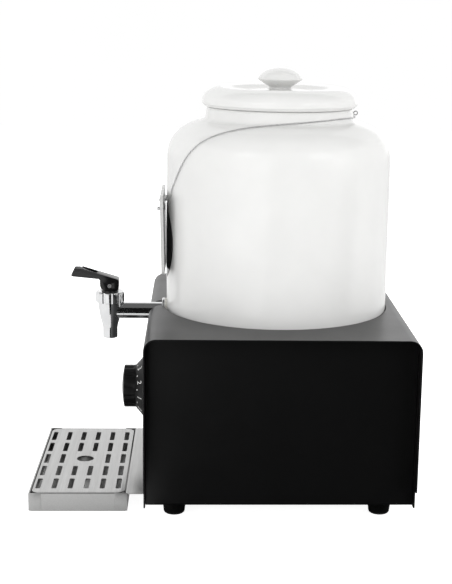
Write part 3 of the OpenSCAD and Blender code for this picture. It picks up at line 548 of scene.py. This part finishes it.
def lid_profile():
    low_box, high_box = box_mm("lid")
    top, low = high_box.z, NECK_TOP + 0.3
    plug_low, plug_r = low_box.z, MOUTH_R - 1
    widest, middle, crest = (high_box.x - low_box.x) / 2, 380.8, 394.8
    crest_r = widest - 19.2
    under = [(0, plug_low + 4), (plug_r - 10, plug_low + 3.2), (plug_r - 7.5, plug_low + 1.2), (plug_r - 6, plug_low)]
    under += arc(plug_r - 1.5, plug_low + 1.5, 1.5, -90, 0, 5) + arc(plug_r + 1, low - 1, 1, 180, 90, 4)
    under += [(70.5, low)] + arc(70.9, low + 3.2, 3.2, -88, -28, 6, 3.2)
    rim = arc(crest_r, middle, 19.2, -6, 90, 40, crest - middle)
    trough = [(crest_r - 16 * t / 12, crest - 3.4 * (1 - cos(pi * t / 12)) / 2) for t in range(1, 13)]
    stem = smooth_line([(crest_r - 16, crest - 3.4), (32, crest - 3.1), (26, crest - 2.5), (19, crest - 2.0),
                        (14.6, crest - 2.0), (12.2, crest - 1.7), (10.9, crest - 1.1), (10.6, crest - 0.2),
                        (11.2, crest + 0.8), (13.1, crest + 2.0), (15.8, crest + 3.7), (18.5, crest + 5.5),
                        (20.5, crest + 6.9), (21.3, crest + 7.7), (21.5, crest + 8.6)], 4)[1:]
    dome = arc(0, top - 14.2, 22.05, 20, 90, 26, 14.2)
    return under + rim + trough + stem + dome[:-1] + [(0, top)]


def make_lid(white):
    bm = bmesh.new()
    revolve(bm, lid_profile(), (0, JAR_Y), steps=224)
    lid = loose("lid_body", bm)
    vent_x, vent_y, vent_r = 13.8, JAR_Y - 4.3, 1.3
    boolean(lid, loose("cutter", bar((vent_x, vent_y), vent_r, 360, 398, "Z", 32)))
    return piece(lid, "crock_lid", "white_glaze", white, replaces=["lid"], sharp=40)


def make_badge(black):
    """A plain oval glaze patch that stands a little proud and thins out at its edge."""
    low, high = box_mm("jar_badge")
    half_w, half_h, mid = (high.x - low.x) / 2, (high.z - low.z) / 2, (high.z + low.z) / 2
    steps = 120

    def at(share, lift, a):
        x = half_w * share * cos(a)
        r = JAR_R + lift
        return x, JAR_Y - sqrt(r * r - x * x), mid + half_h * share * sin(a)
    shares = [(1.0, 0.06), (1.0, 0.2), (0.997, 0.3), (0.99, 0.38), (0.975, 0.42), (0.9, 0.43)]
    shares += [(s / 10, 0.43) for s in (8, 6.5, 5, 3.5, 2, 1)]
    loops = [[at(s, lift, tau * k / steps) for k in range(steps)] for s, lift in shares]
    back = [[at(s / 10, 0.06, tau * k / steps) for k in range(steps)] for s in (1, 4, 7)]
    bm = bmesh.new()
    skin(bm, back + loops)
    badge = loose("front_badge", bm)
    return piece(badge, "crock", "badge_glaze", black, replaces=["jar_badge"])


# ---------- tap ----------
TAP_Y = (box_mm("tap_collar")[0].y + box_mm("tap_collar")[1].y) / 2


def fluted(count, cut_at, cut_r, phase=0.5, rises=None):
    """Radius of a drum with count shallow grooves, each a round bite taken out of its side."""
    def wobble(a, r, h):
        if r < cut_at - cut_r - 3:
            return r
        off = (a / tau * count - phase + 0.5) % 1 - 0.5
        t = off * tau / count
        reach = cut_r * cut_r - (cut_at * sin(t)) ** 2
        bitten = cut_at * cos(t) - sqrt(reach) if reach > 0 else r
        share = rises(h) if rises else 1
        return r - share * max(0, r - bitten)
    return wobble


def make_tap_body(chrome_mat):
    """Spout and valve chamber: smooth outside, bored through, with the stub that takes the shank."""
    low, high = box_mm("tap_body")[0].z, box_mm("tap_body")[1].z
    curve = smooth_line([(7.25, 155.2), (7.45, 157), (8.05, 160), (9.1, 164), (10.35, 169.5), (11.25, 175),
                         (11.7, 179), (11.8, 182)], 5)
    outside = [(6.6, low)] + arc(6.65, low + 0.6, 0.6, -80, 0, 4) + [(7.25, 150)] + curve + [(11.8, high)]
    bm = bmesh.new()
    revolve(bm, [(0, low)] + outside + [(0, high)], (0, TAP_Y), steps=160)
    body = loose("tap_spout", bm)
    boolean(body, loose("stub", bar((0, SHANK_Z), SHANK_R, TAP_Y + 6, TAP_Y + 13.5, steps=96)), "UNION")
    cavity = bmesh.new()
    revolve(cavity, [(0, low - 2), (5.2, low - 2), (5.2, 158), (8.6, 166), (8.6, high + 2), (0, high + 2)],
            (0, TAP_Y), steps=96)
    boolean(body, loose("cutter", cavity))
    boolean(body, loose("cutter", bar((0, SHANK_Z), SHANK_BORE, TAP_Y + 2, TAP_Y + 20, steps=64)))
    return piece(body, "crock", "tap_chrome", chrome_mat, replaces=["tap_body"], sharp=30)


def make_collar(chrome_mat):
    low, top = box_mm("tap_collar")[0].z, box_mm("tap_collar")[1].z
    r = 14.2
    profile = [(8.9, top - 2.6), (8.9, 190.6), (11.95, 188.1), (11.95, low), (r - 1.0, low)]
    profile += arc(r - 0.9, low + 0.9, 0.9, -80, 0, 4) + [(r, top - 5), (r, top - 2.4)]
    profile += arc(r - 1.7, top - 1.7, 1.7, 10, 90, 7) + arc(11.2, top - 0.7, 0.7, 100, 170, 3)
    bm = bmesh.new()
    revolve(bm, profile, (0, TAP_Y), steps=480, ring=True, wobble=fluted(12, r + 0.9, 1.8, 8 / 30))
    return piece(loose("tap_crown", bm), "crock", "tap_chrome", chrome_mat, replaces=["tap_collar"], sharp=45)


def make_shank(chrome_mat):
    """Pipe between tap and jar, plain outside and threaded where the nut grips it."""
    low, high = box_mm("tap_shank")[0].y, box_mm("tap_shank")[1].y
    r, thread_pitch = SHANK_R, 1.34
    thread_from = JAR_Y - JAR_R + WALL + 1
    profile = [(SHANK_BORE, low), (r - 0.5, low), (r, low + 0.5), (r, thread_from)]
    y = thread_from + 0.7
    while y < high - 1.4:
        profile += [(r - 0.75, y), (r - 0.05, y + 0.7)]
        y += thread_pitch
    profile += [(r - 0.8, high), (SHANK_BORE, high)]
    bm = bmesh.new()
    revolve(bm, profile, (0, SHANK_Z), "Y", 128, ring=True)
    return piece(loose("tap_pipe", bm), "crock", "tap_chrome", chrome_mat, replaces=["tap_shank"])


def make_washer(chrome_mat):
    low, high = box_mm("shank_washer")[0].y, box_mm("shank_washer")[1].y
    profile = [(8.35, high), (8.35, low), (9.2, low)] + arc(WASHER_R - 0.9, low + 0.9, 0.9, -90, 0, 5)
    profile += arc(WASHER_R - 0.3, high - 0.3, 0.3, 0, 90, 3)
    bm = bmesh.new()
    revolve(bm, profile, (0, SHANK_Z), "Y", 128, ring=True)
    return piece(loose("tap_washer", bm), "crock", "tap_chrome", chrome_mat, replaces=["shank_washer"])


PIVOT = (TAP_Y, (box_mm("lever_pin")[0].z + box_mm("lever_pin")[1].z) / 2)
CAM_BASE, CAM_K = 4.5, 3.4 / radians(50)


def cam(degrees):
    """A point of the lever's involute underside, from the pin."""
    t = radians(degrees)
    h = CAM_BASE + CAM_K * t
    return -h * sin(t) - CAM_K * cos(t), -h * cos(t) + CAM_K * sin(t)


def lever_prism(points, half):
    return loose("lever_part", prism([(y + PIVOT[0], z + PIVOT[1]) for y, z in points], -half, half))


def make_lever(gloss):
    """Hub round the stem, arm with a finger scoop on top, and a tip that slopes down to both sides."""
    outline = [(7.6, -CAM_BASE)] + [cam(t) for t in range(0, 51, 2)]
    outline += [(-9.0, -1.1), (-9.3, -0.1), (-9.45, 1.2), (-9.5, 2.6), (-9.5, 5.2), (-9.65, 6.0), (-10.1, 6.6),
                (-10.8, 6.85), (-36.0, 9.2), (-37.1, 9.6), (-37.55, 10.2), (-37.5, 11.0), (-34.6, 17.2),
                (-34.2, 17.8), (-33.5, 18.1), (-29.8, 18.1), (7.2, 6.95), (8.3, 6.4), (8.8, 5.6), (8.9, 4.6),
                (8.8, -2.8), (8.5, -3.8)]
    lever = lever_prism(outline, 7.5)
    for side in (-1, 1):
        # the arm is slimmer than the hub
        arm = lever_prism([(-50, -5), (-10.6, -5), (-10.6, 40), (-50, 40)], 3.6)
        arm.data.transform(Matrix.Translation((side * 10.4, 0, 0)))
        boolean(lever, arm)
        slope = lever_prism([(-50, 0), (-27.4, 0), (-27.4, 9), (-50, 9)], 9)
        edge = Vector((side * 6.8, 0, PIVOT[1] + 15.9))
        slope.data.transform(Matrix.Translation((0, 0, -PIVOT[1])))
        slope.data.transform(Matrix.Translation(edge) @ Matrix.Rotation(side * radians(22), 4, "Y"))
        boolean(lever, slope)
    scoop = [(-27.6, 20)] + smooth_line([(-27.1, 18), (-26.7, 16.6), (-25.4, 15.6), (-22, 14.35), (-17, 12.6),
                                         (-13.8, 11.5), (-12.5, 11.9), (-12.2, 13.4)], 3) + [(-12.1, 16)]
    boolean(lever, lever_prism(scoop, 5.9))
    boolean(lever, lever_prism([(-12, -12), (5.5, -12), (5.5, 5), (-12, 5)], 2.6))
    boolean(lever, loose("cutter", bar(PIVOT, 2.02, -10, 10, "X")))
    round_edges(lever, 0.4, 3, 30)
    settle(lever)
    return piece(lever, "tap_lever", "lever_plastic", gloss, replaces=["lever"], sharp=40)


def make_pin(steel):
    """Pin with turned-down ends, each with a dimple."""
    low, high = box_mm("lever_pin")[0].x, box_mm("lever_pin")[1].x
    end = [(0, 0.45), (0.5, 0.4), (0.95, 0.12), (1.25, 0.0), (1.6, 0.05), (1.9, 0.25), (2.0, 0.6)]
    profile = [(r, low + h) for r, h in end] + [(r, high - h) for r, h in end[::-1]]
    bm = bmesh.new()
    revolve(bm, profile, PIVOT, "X", 64)
    return piece(loose("handle_pin", bm), "tap_lever", "pin_steel", steel, replaces=["lever_pin"])


# ---------- thermostat knob ----------
KNOB_Z = (box_mm("knob_skirt")[0].z + box_mm("knob_skirt")[1].z) / 2
SKIRT_BACK = box_mm("knob_skirt")[1].y
SKIRT_FRONT = box_mm("knob_skirt")[0].y
SKIRT_R = (box_mm("knob_skirt")[1].x - box_mm("knob_skirt")[0].x) / 2
GRIP_FACE = box_mm("knob_grip")[0].y
GRIP_R = (box_mm("knob_grip")[1].x - box_mm("knob_grip")[0].x) / 2
CONE_TOP_R, CONE_LOW_H = GRIP_R + 0.5, 1.2
SHAFT_R = 3.05
SCALE_STEPS, SCALE_SWEEP = 8, 270      # figures 0 to 8 over 270 degrees


def make_skirt(black):
    """Skirt with a low rim and a cone that carries the scale."""
    depth = SKIRT_BACK - SKIRT_FRONT
    soft, facets = 0.15, 6
    cone_r, cone_low, cone_h = SKIRT_R - soft, CONE_LOW_H + soft, depth - CONE_LOW_H - soft
    profile = [(SHAFT_R, 2.2), (15, 2.2), (15, 0.6), (SKIRT_R - 2.4, 0.6), (SKIRT_R - 1.5, 0.2)]
    profile += arc(SKIRT_R - 0.6, 0.6, 0.6, -90, 0, 4) + [(SKIRT_R, CONE_LOW_H - 0.1), (cone_r, cone_low)]
    profile += [(CONE_TOP_R + (cone_r - CONE_TOP_R) * (1 - t / facets), cone_low + cone_h * t / facets)
                for t in range(1, facets + 1)] + [(SHAFT_R, depth)]
    bm = bmesh.new()
    revolve(bm, [(r, SKIRT_BACK - h) for r, h in profile], (0, KNOB_Z), "Y", 160, ring=True)
    return piece(loose("dial_skirt", bm), "dial", "knob_plastic", black, replaces=["knob_skirt"])


def make_grip(black):
    """Drum with shallow finger scallops and a domed face inside a fine rim."""
    dome = 2.2
    depth = SKIRT_FRONT - GRIP_FACE - dome
    radius = ((GRIP_R - 1) ** 2 + dome * dome) / (2 * dome)
    half = asin((GRIP_R - 1) / radius) * 180 / pi
    profile = [(SHAFT_R, 0), (GRIP_R, 0), (GRIP_R, 1.5), (GRIP_R, 2.2), (GRIP_R, 3.2), (GRIP_R, depth / 2 + 1)]
    profile += arc(GRIP_R - 1, depth - 1, 1, 0, 80, 5)
    profile += [p for p in arc(0, depth + dome - radius, radius, 90 - half, 90, 16)][:-1]
    profile += [(0, depth + dome)]
    profile = [(r, SKIRT_FRONT - h) for r, h in profile]
    socket = SKIRT_FRONT - 5.4

    def rises(h):
        return min(1, max(0, (SKIRT_FRONT - h - 1.6) / 0.9))
    bm = bmesh.new()
    revolve(bm, [(0, socket), (SHAFT_R, socket)] + profile, (0, KNOB_Z), "Y", 360,
            wobble=fluted(12, GRIP_R + 3.2, 4, 0.5, rises))
    return piece(loose("dial_grip", bm), "dial", "knob_plastic", black, replaces=["knob_grip"], sharp=50)


def on_skirt(u, v, w, angle):
    """A place on the skirt's cone: u mm clockwise and v mm outwards of its middle line, w mm above it."""
    slant = Vector((SKIRT_R - 0.15 - CONE_TOP_R, -(SKIRT_BACK - SKIRT_FRONT - CONE_LOW_H - 0.15)))
    length = slant.length
    slant.normalize()
    r = CONE_TOP_R + slant.x * (length * 0.47 + v) - slant.y * w
    h = (SKIRT_BACK - SKIRT_FRONT) + slant.y * (length * 0.47 + v) + slant.x * w
    a = angle - u / r
    return r * cos(a), SKIRT_BACK - h, KNOB_Z + r * sin(a)


def make_numbers(white):
    """Plain scale digits printed round the skirt, with a dot between each two. The middle one is on top."""
    pitch, thick = radians(SCALE_SWEEP / SCALE_STEPS), 0.03
    first = radians(90) - SCALE_STEPS / 2 * pitch
    height, narrow, outwards = 9.2, 0.85, 0.5
    dot_r, dot_in, dot_sides = 0.7, 2.7, 16
    bm = bmesh.new()
    for k in range(SCALE_STEPS + 1):
        text = bpy.data.curves.new("number", "FONT")
        text.body, text.size, text.extrude = str(k), height, thick
        text.align_x, text.align_y, text.resolution_u = "CENTER", "CENTER", 3
        mesh = curve_mesh("number", text)
        for v in mesh.vertices:
            v.co = on_skirt(v.co.x * narrow, v.co.y + outwards, v.co.z + thick, first + k * pitch)
        bm.from_mesh(mesh)
        bpy.data.meshes.remove(mesh)
    for k in range(SCALE_STEPS):
        dot = [(dot_r * cos(tau * i / dot_sides), dot_r * sin(tau * i / dot_sides)) for i in range(dot_sides)]
        between = first + (k + 0.5) * pitch
        skin(bm, [[on_skirt(u, v - dot_in, w, between) for u, v in dot] for w in (0, 2 * thick)])
    return piece(loose("dial_numbers", bm), "dial", "knob_plastic", white)


# ---------- plaque and chain ----------
def make_chain(metal):
    """Twisted links along the route that the CAD chain takes round the shoulder and neck."""
    clear = 1.05
    route = [(16, 288), (20, 299.5), (26, 313), (33, 328.5), (38, 339), (43.5, 348), (50, 354.5), (57, 358.5),
             (67, 362), (84, 364.5), (99, 366), (116, 367.5), (134, 368.5), (150, 368.5), (166, 368), (180, 368)]

    def lift(z):
        s = (shoulder_at(z - 0.05) - shoulder_at(z + 0.05)) / 0.1
        return s / sqrt(1 + s * s)

    def on_jar(angle, z):
        z1 = z - clear * lift(z)
        z2 = z - clear * lift(z1)
        by_shoulder = shoulder_at(z2) + clear * sqrt(1 - lift(z2) ** 2)
        by_neck = neck_at(z) + clear + min(1.5, max(0, 366.2 - z) / 2)     # also clear of the fillet below the neck
        r = max(by_shoulder, by_neck)
        return Vector((r * sin(radians(angle)), JAR_Y - r * cos(radians(angle)), z))
    side = [Vector((29, -51.5, 284))] + [on_jar(*q) for q in smooth_line(route, 8)]
    path = [Vector((-p.x, p.y, p.z)) for p in side] + side[-2::-1]
    lengths = [0]
    for a, b in zip(path, path[1:]):
        lengths.append(lengths[-1] + (b - a).length)
    pitch, wire, long_half, wide_half = 2.0, 0.27, 1.28, 0.6
    count = int(lengths[-1] / pitch)
    pitch = lengths[-1] / count
    bm = bmesh.new()
    i = 0
    for n in range(count):
        s = (n + 0.5) * pitch
        while lengths[i + 1] < s:
            i += 1
        a, b = path[i], path[i + 1]
        middle = a.lerp(b, (s - lengths[i]) / (lengths[i + 1] - lengths[i]))
        along = (b - a).normalized()
        out = Vector((middle.x, middle.y - JAR_Y, 0)).normalized()
        across = along.cross(out).normalized()
        out = across.cross(along)
        turn = radians(45 + 90 * (n % 2) + 9 * sin(n * 0.7))
        flat = across * cos(turn) + out * sin(turn)
        up = along.cross(flat)
        add_link(bm, middle, along, flat, up, long_half, wide_half, wire)
    return piece(loose("chain_links", bm), "crock", "chain_metal", metal, replaces=["plaque_chain"], sharp=80)


def add_link(bm, middle, along, flat, up, long_half, wide_half, wire, turns=12, sides=6):
    rows = []
    for k in range(turns):
        a = tau * k / turns
        centre = middle + along * long_half * cos(a) + flat * wide_half * sin(a)
        outward = (along * cos(a) / long_half + flat * sin(a) / wide_half).normalized()
        rows.append([bm.verts.new(centre + wire * (outward * cos(tau * j / sides) + up * sin(tau * j / sides)))
                     for j in range(sides)])
    for k in range(turns):
        a, b = rows[k], rows[(k + 1) % turns]
        for j in range(sides):
            bm.faces.new((a[j], a[(j + 1) % sides], b[(j + 1) % sides], b[j]))


# ---------- drip tray ----------
def make_tray(steel):
    """Folded tray: pan with bent floor edges, tabs folded round the corners, and the plate at the back."""
    low, high = box_mm("drip_tray")
    width, front = high.x - low.x, low.y
    base_off, base_half, plate_d = 1, 125, 17       # jar to base middle, to the wrap's front, to the pan's back
    back = JAR_Y - base_off - base_half - plate_d
    depth, mid = back - front, (front + back) / 2
    rim = high.z - 0.35
    bend, tab, sheet = 1.6, 0.55, 0.8
    proud = tab + 0.25          # depth of the tabs and ends, from the outside
    tab_low, tab_w = 0.9, 12

    def ring(inset, z, r):
        return [(x, y, z) for x, y in rounded_rect(0, mid, width - 2 * inset, depth - 2 * inset, r, 4)]

    def folded(name, bm, edge):
        part = loose(name, bm)
        round_edges(part, edge, 2)
        settle(part)
        return part
    loops = [ring(tab + bend + 3, 0, 0.3), ring(tab + bend, 0, 0.4)]
    loops += [ring(tab + bend - x, z, 0.4 + x) for x, z in arc(0, bend, bend, -90, 0, 5)[1:]]
    loops += [ring(tab, rim - 0.3, 1.6)]
    loops += [ring(tab + 0.3 - x, z, 1.6) for x, z in arc(0, rim - 0.3, 0.3, 0, 90, 3)[1:]]
    loops += [ring(tab + 0.5 + x, z, 1.1) for x, z in arc(0, rim - 0.2, 0.2, 90, 0, 2)[:-1]]
    loops += [ring(tab + sheet, rim - 0.3, 0.9), ring(tab + sheet, bend + 0.4, 0.9)]
    loops += [ring(tab + sheet + 1.0 - x, z, 0.9) for x, z in arc(0, sheet + 1.0, 1.0, 0, -90, 4)[1:]]
    loops += [ring(tab + sheet + 4, sheet, 0.5)]
    bm = bmesh.new()
    skin(bm, loops)
    pan = loose("tray_pan", bm)
    parts = []
    tab_z, tab_h = (tab_low + high.z) / 2, high.z - tab_low
    for sx in (-1, 1):
        outer = sx * width / 2
        inner = outer - sx * proud
        for y0, y1 in ((front, front + tab_w), (back - tab_w, back)):
            shape = rounded_rect((y0 + y1) / 2, tab_z, y1 - y0, tab_h, 0.8, 4)
            parts.append(folded("tab", prism(shape, min(outer, inner), max(outer, inner)), 0.18))
    for y0, y1 in ((front, front + tab + 0.25), (back - tab - 0.25, back)):
        parts.append(folded("end", prism(rounded_rect(0, tab_z, width - 0.1, tab_h, 0.8, 4), y0, y1, "Y"), 0.18))
    overlap = 0.6
    shape = rounded_rect(0, (back - overlap + high.y) / 2, width - 0.4, high.y - back + overlap, 1.5, 4)
    parts.append(folded("plate", prism(shape, high.z - 1.0, high.z, "Z"), 0.25))
    for other in parts:
        boolean(pan, other, "UNION")
    return piece(pan, "tray", "tray_steel", steel, replaces=["drip_tray"], sharp=30)


def make_grid(steel):
    """Pressed grid: rounded slots and drain hole with soft edges, and four folded legs."""
    low, high = box_mm("tray_grid")
    width, depth = high.x - low.x, high.y - low.y
    mid, thick, top = (low.y + high.y) / 2, 1.2, high.z
    middle = mid - 1            # slots and hole sit a little nearer the front
    columns, rows, hole = 5, 6, (2, (2, 3))
    pitch_x, pitch_y, slot_w, slot_d, slot_round = 36, 15.3, 26.6, 4.6, 1.3
    hole_r, hole_sides = 8.5, 48
    outlines = [rounded_rect(0, mid, width, depth, 8, 12)]
    for i in range(columns):
        for j in range(rows):
            if i != hole[0] or j not in hole[1]:
                outlines.append(rounded_rect((i - 2) * pitch_x, middle + (j - 2.5) * pitch_y,
                                             slot_w, slot_d, slot_round, 5))
    outlines.append([(hole_r * cos(tau * k / hole_sides), middle + hole_r * sin(tau * k / hole_sides))
                     for k in range(hole_sides)])
    curve = bpy.data.curves.new("grid", "CURVE")
    curve.dimensions, curve.fill_mode = "2D", "BOTH"
    soft = 0.35
    curve.extrude, curve.bevel_depth, curve.bevel_resolution, curve.offset = thick / 2 - soft, soft, 2, -soft
    for points in outlines:
        spline = curve.splines.new("POLY")
        spline.points.add(len(points) - 1)
        spline.use_cyclic_u = True
        for p, q in zip(spline.points, points):
            p.co = (*q, 0, 1)
    mesh = curve_mesh("grid", curve)
    mesh.transform(Matrix.Translation((0, 0, top - thick / 2)))
    bm = bmesh.new()
    bm.from_mesh(mesh)
    bpy.data.meshes.remove(mesh)
    under, foot, leg_in, leg_half = top - thick, low.z, 14, 4.5
    for sx in (-1, 1):
        for sy in (-1, 1):
            x, y = sx * (width / 2 - leg_in), mid + sy * (depth / 2)
            side = [(y - sy * inset, z) for inset, z in (
                (2.3, under + 0.02), (0.9, under + 0.02), (0.02, under - 1.0), (0.02, foot), (1.0, foot),
                (1.0, under - 1.2), (1.5, under - 0.75), (2.3, under - 0.7))]
            skin(bm, [[(x + off, py, pz) for py, pz in side] for off in (-leg_half, leg_half)])
    return piece(loose("drip_grid", bm), "grid", "tray_steel", steel, replaces=["tray_grid"], sharp=35)


# ---------- CAD nodes that stay ----------
def finish_node(name, mat, edge=0.0, segments=2):
    """Gives a CAD node its material, and rounds its edges by edge mm."""
    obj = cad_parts[name]
    slots = obj.data.materials
    if not slots:
        slots.append(mat)
    for i in range(len(slots)):
        slots[i] = mat
    weld = obj.modifiers.new("weld", "WELD")
    weld.merge_threshold = 1e-6
    if edge:
        round_edges(obj, edge, segments, 32, MM)
    flat = obj.modifiers.new("flat", "WEIGHTED_NORMAL")
    flat.keep_sharp = False
    flat.weight = 60


def make_everything():
    """The pieces that replace CAD nodes, then the materials of the nodes that stay."""
    coat, white, metal = powder_coat(), glaze("white_glaze", (0.74, 0.74, 0.73)), chrome()
    steel = brushed("satin_stainless", (0.55, 0.55, 0.545), 0.34)
    knob = plastic("knob_black", (0.0045, 0.0045, 0.0048), 0.38, grain=0.35, depth=0.006, specular=0.22)
    gloss = plastic("lever_black", (0.006, 0.006, 0.0062), 0.16, grain=2, depth=0.006)
    silver = chrome("chain_silver", (0.8, 0.8, 0.805), 0.32)
    paint = plastic("scale_white", (0.72, 0.72, 0.71), 0.5)
    plated = brushed("zinc_plate", (0.5, 0.5, 0.49), 0.35, (1, 1, 1), 2)
    black_nylon = plastic("black_nylon", (0.012, 0.012, 0.012), 0.45, grain=0.5, depth=0.02)
    make_jar(white)
    make_lid(white)
    make_badge(glaze("black_glaze", (0.006, 0.006, 0.0065), 0.12, 0.1))
    make_tap_body(metal)
    make_collar(metal)
    make_shank(metal)
    make_washer(metal)
    make_lever(gloss)
    make_pin(brushed("pin_steel", (0.42, 0.42, 0.42), 0.3, (1, 1, 1), 1))
    make_skirt(knob)
    make_grip(knob)
    make_numbers(paint)
    make_chain(silver)
    make_tray(steel)
    make_grid(steel)
    wires = plastic("wire_sleeve", (0.33, 0.03, 0.022), 0.55)
    silicone = rubber("silicone", (0.6, 0.59, 0.55), 0.45)
    steatite = plastic("steatite", (0.66, 0.62, 0.54), 0.7, grain=0.6, depth=0.02)
    # CAD node, material, how far its edges are rounded in mm, segments of the rounding
    for name, mat, edge, segments in (
            ("shell_wrap", coat, 0.35, 3), ("chassis", coat, 0.25, 2), ("shell_screws", black_nylon, 0.12, 2),
            ("rubber_feet", rubber("foot_rubber", (0.0015, 0.0015, 0.0015), 0.7), 0.3, 2),
            ("foot_screws", plated, 0.15, 2), ("heater_bridges", galvanised(), 0.2, 2),
            ("plate_standoffs", plated, 0.2, 2),
            ("heater_plate", turned_metal("turned_aluminium", (0.6, 0.605, 0.61), 0.35), 0.3, 2),
            ("heating_element", stained("element_sheath", (0.19, 0.15, 0.12), (0.11, 0.09, 0.1), 0.45), 0.2, 2),
            ("insulation_disc", mineral_wool(), 0.6, 2), ("thermal_cutout", steatite, 0.2, 2),
            ("thermostat_body", plastic("phenolic", (0.55, 0.54, 0.5), 0.5), 0.4, 2),
            ("thermostat_screws", plated, 0.2, 2),
            ("thermostat_probe", stained("probe_copper", (0.62, 0.27, 0.14), (0.4, 0.16, 0.09), 0.3), 0, 0),
            ("terminal_block", steatite, 0.4, 2), ("cable_gland", black_nylon, 0.4, 2),
            ("gland_nut", black_nylon, 0.4, 2), ("heater_wires", wires, 0, 0),
            ("thermostat_shaft", brushed("shaft_steel", (0.5, 0.5, 0.49), 0.3, (1, 1, 1), 1), 0.2, 2),
            ("shank_seals", silicone, 0.3, 2), ("shank_nut", metal, 0.35, 2),
            ("tap_bonnet", plastic("black_acetal", (0.008, 0.008, 0.008), 0.25), 0.2, 2),
            ("tap_stem", stained("stem_brass", (0.6, 0.42, 0.16), (0.5, 0.33, 0.12), 0.28), 0.15, 2),
            ("seat_cup", silicone, 0.2, 2),
            ("plaque", glaze("plaque_glaze", (0.56, 0.56, 0.555), 0.25, 0.05), 0.15, 2),
            ("plaque_studs", silver, 0, 0), ("chain_clasp", silver, 0, 0)):
        finish_node(name, mat, edge, segments)


make_camera()
make_world(0.9)
make_floor()
make_lights()
make_everything()
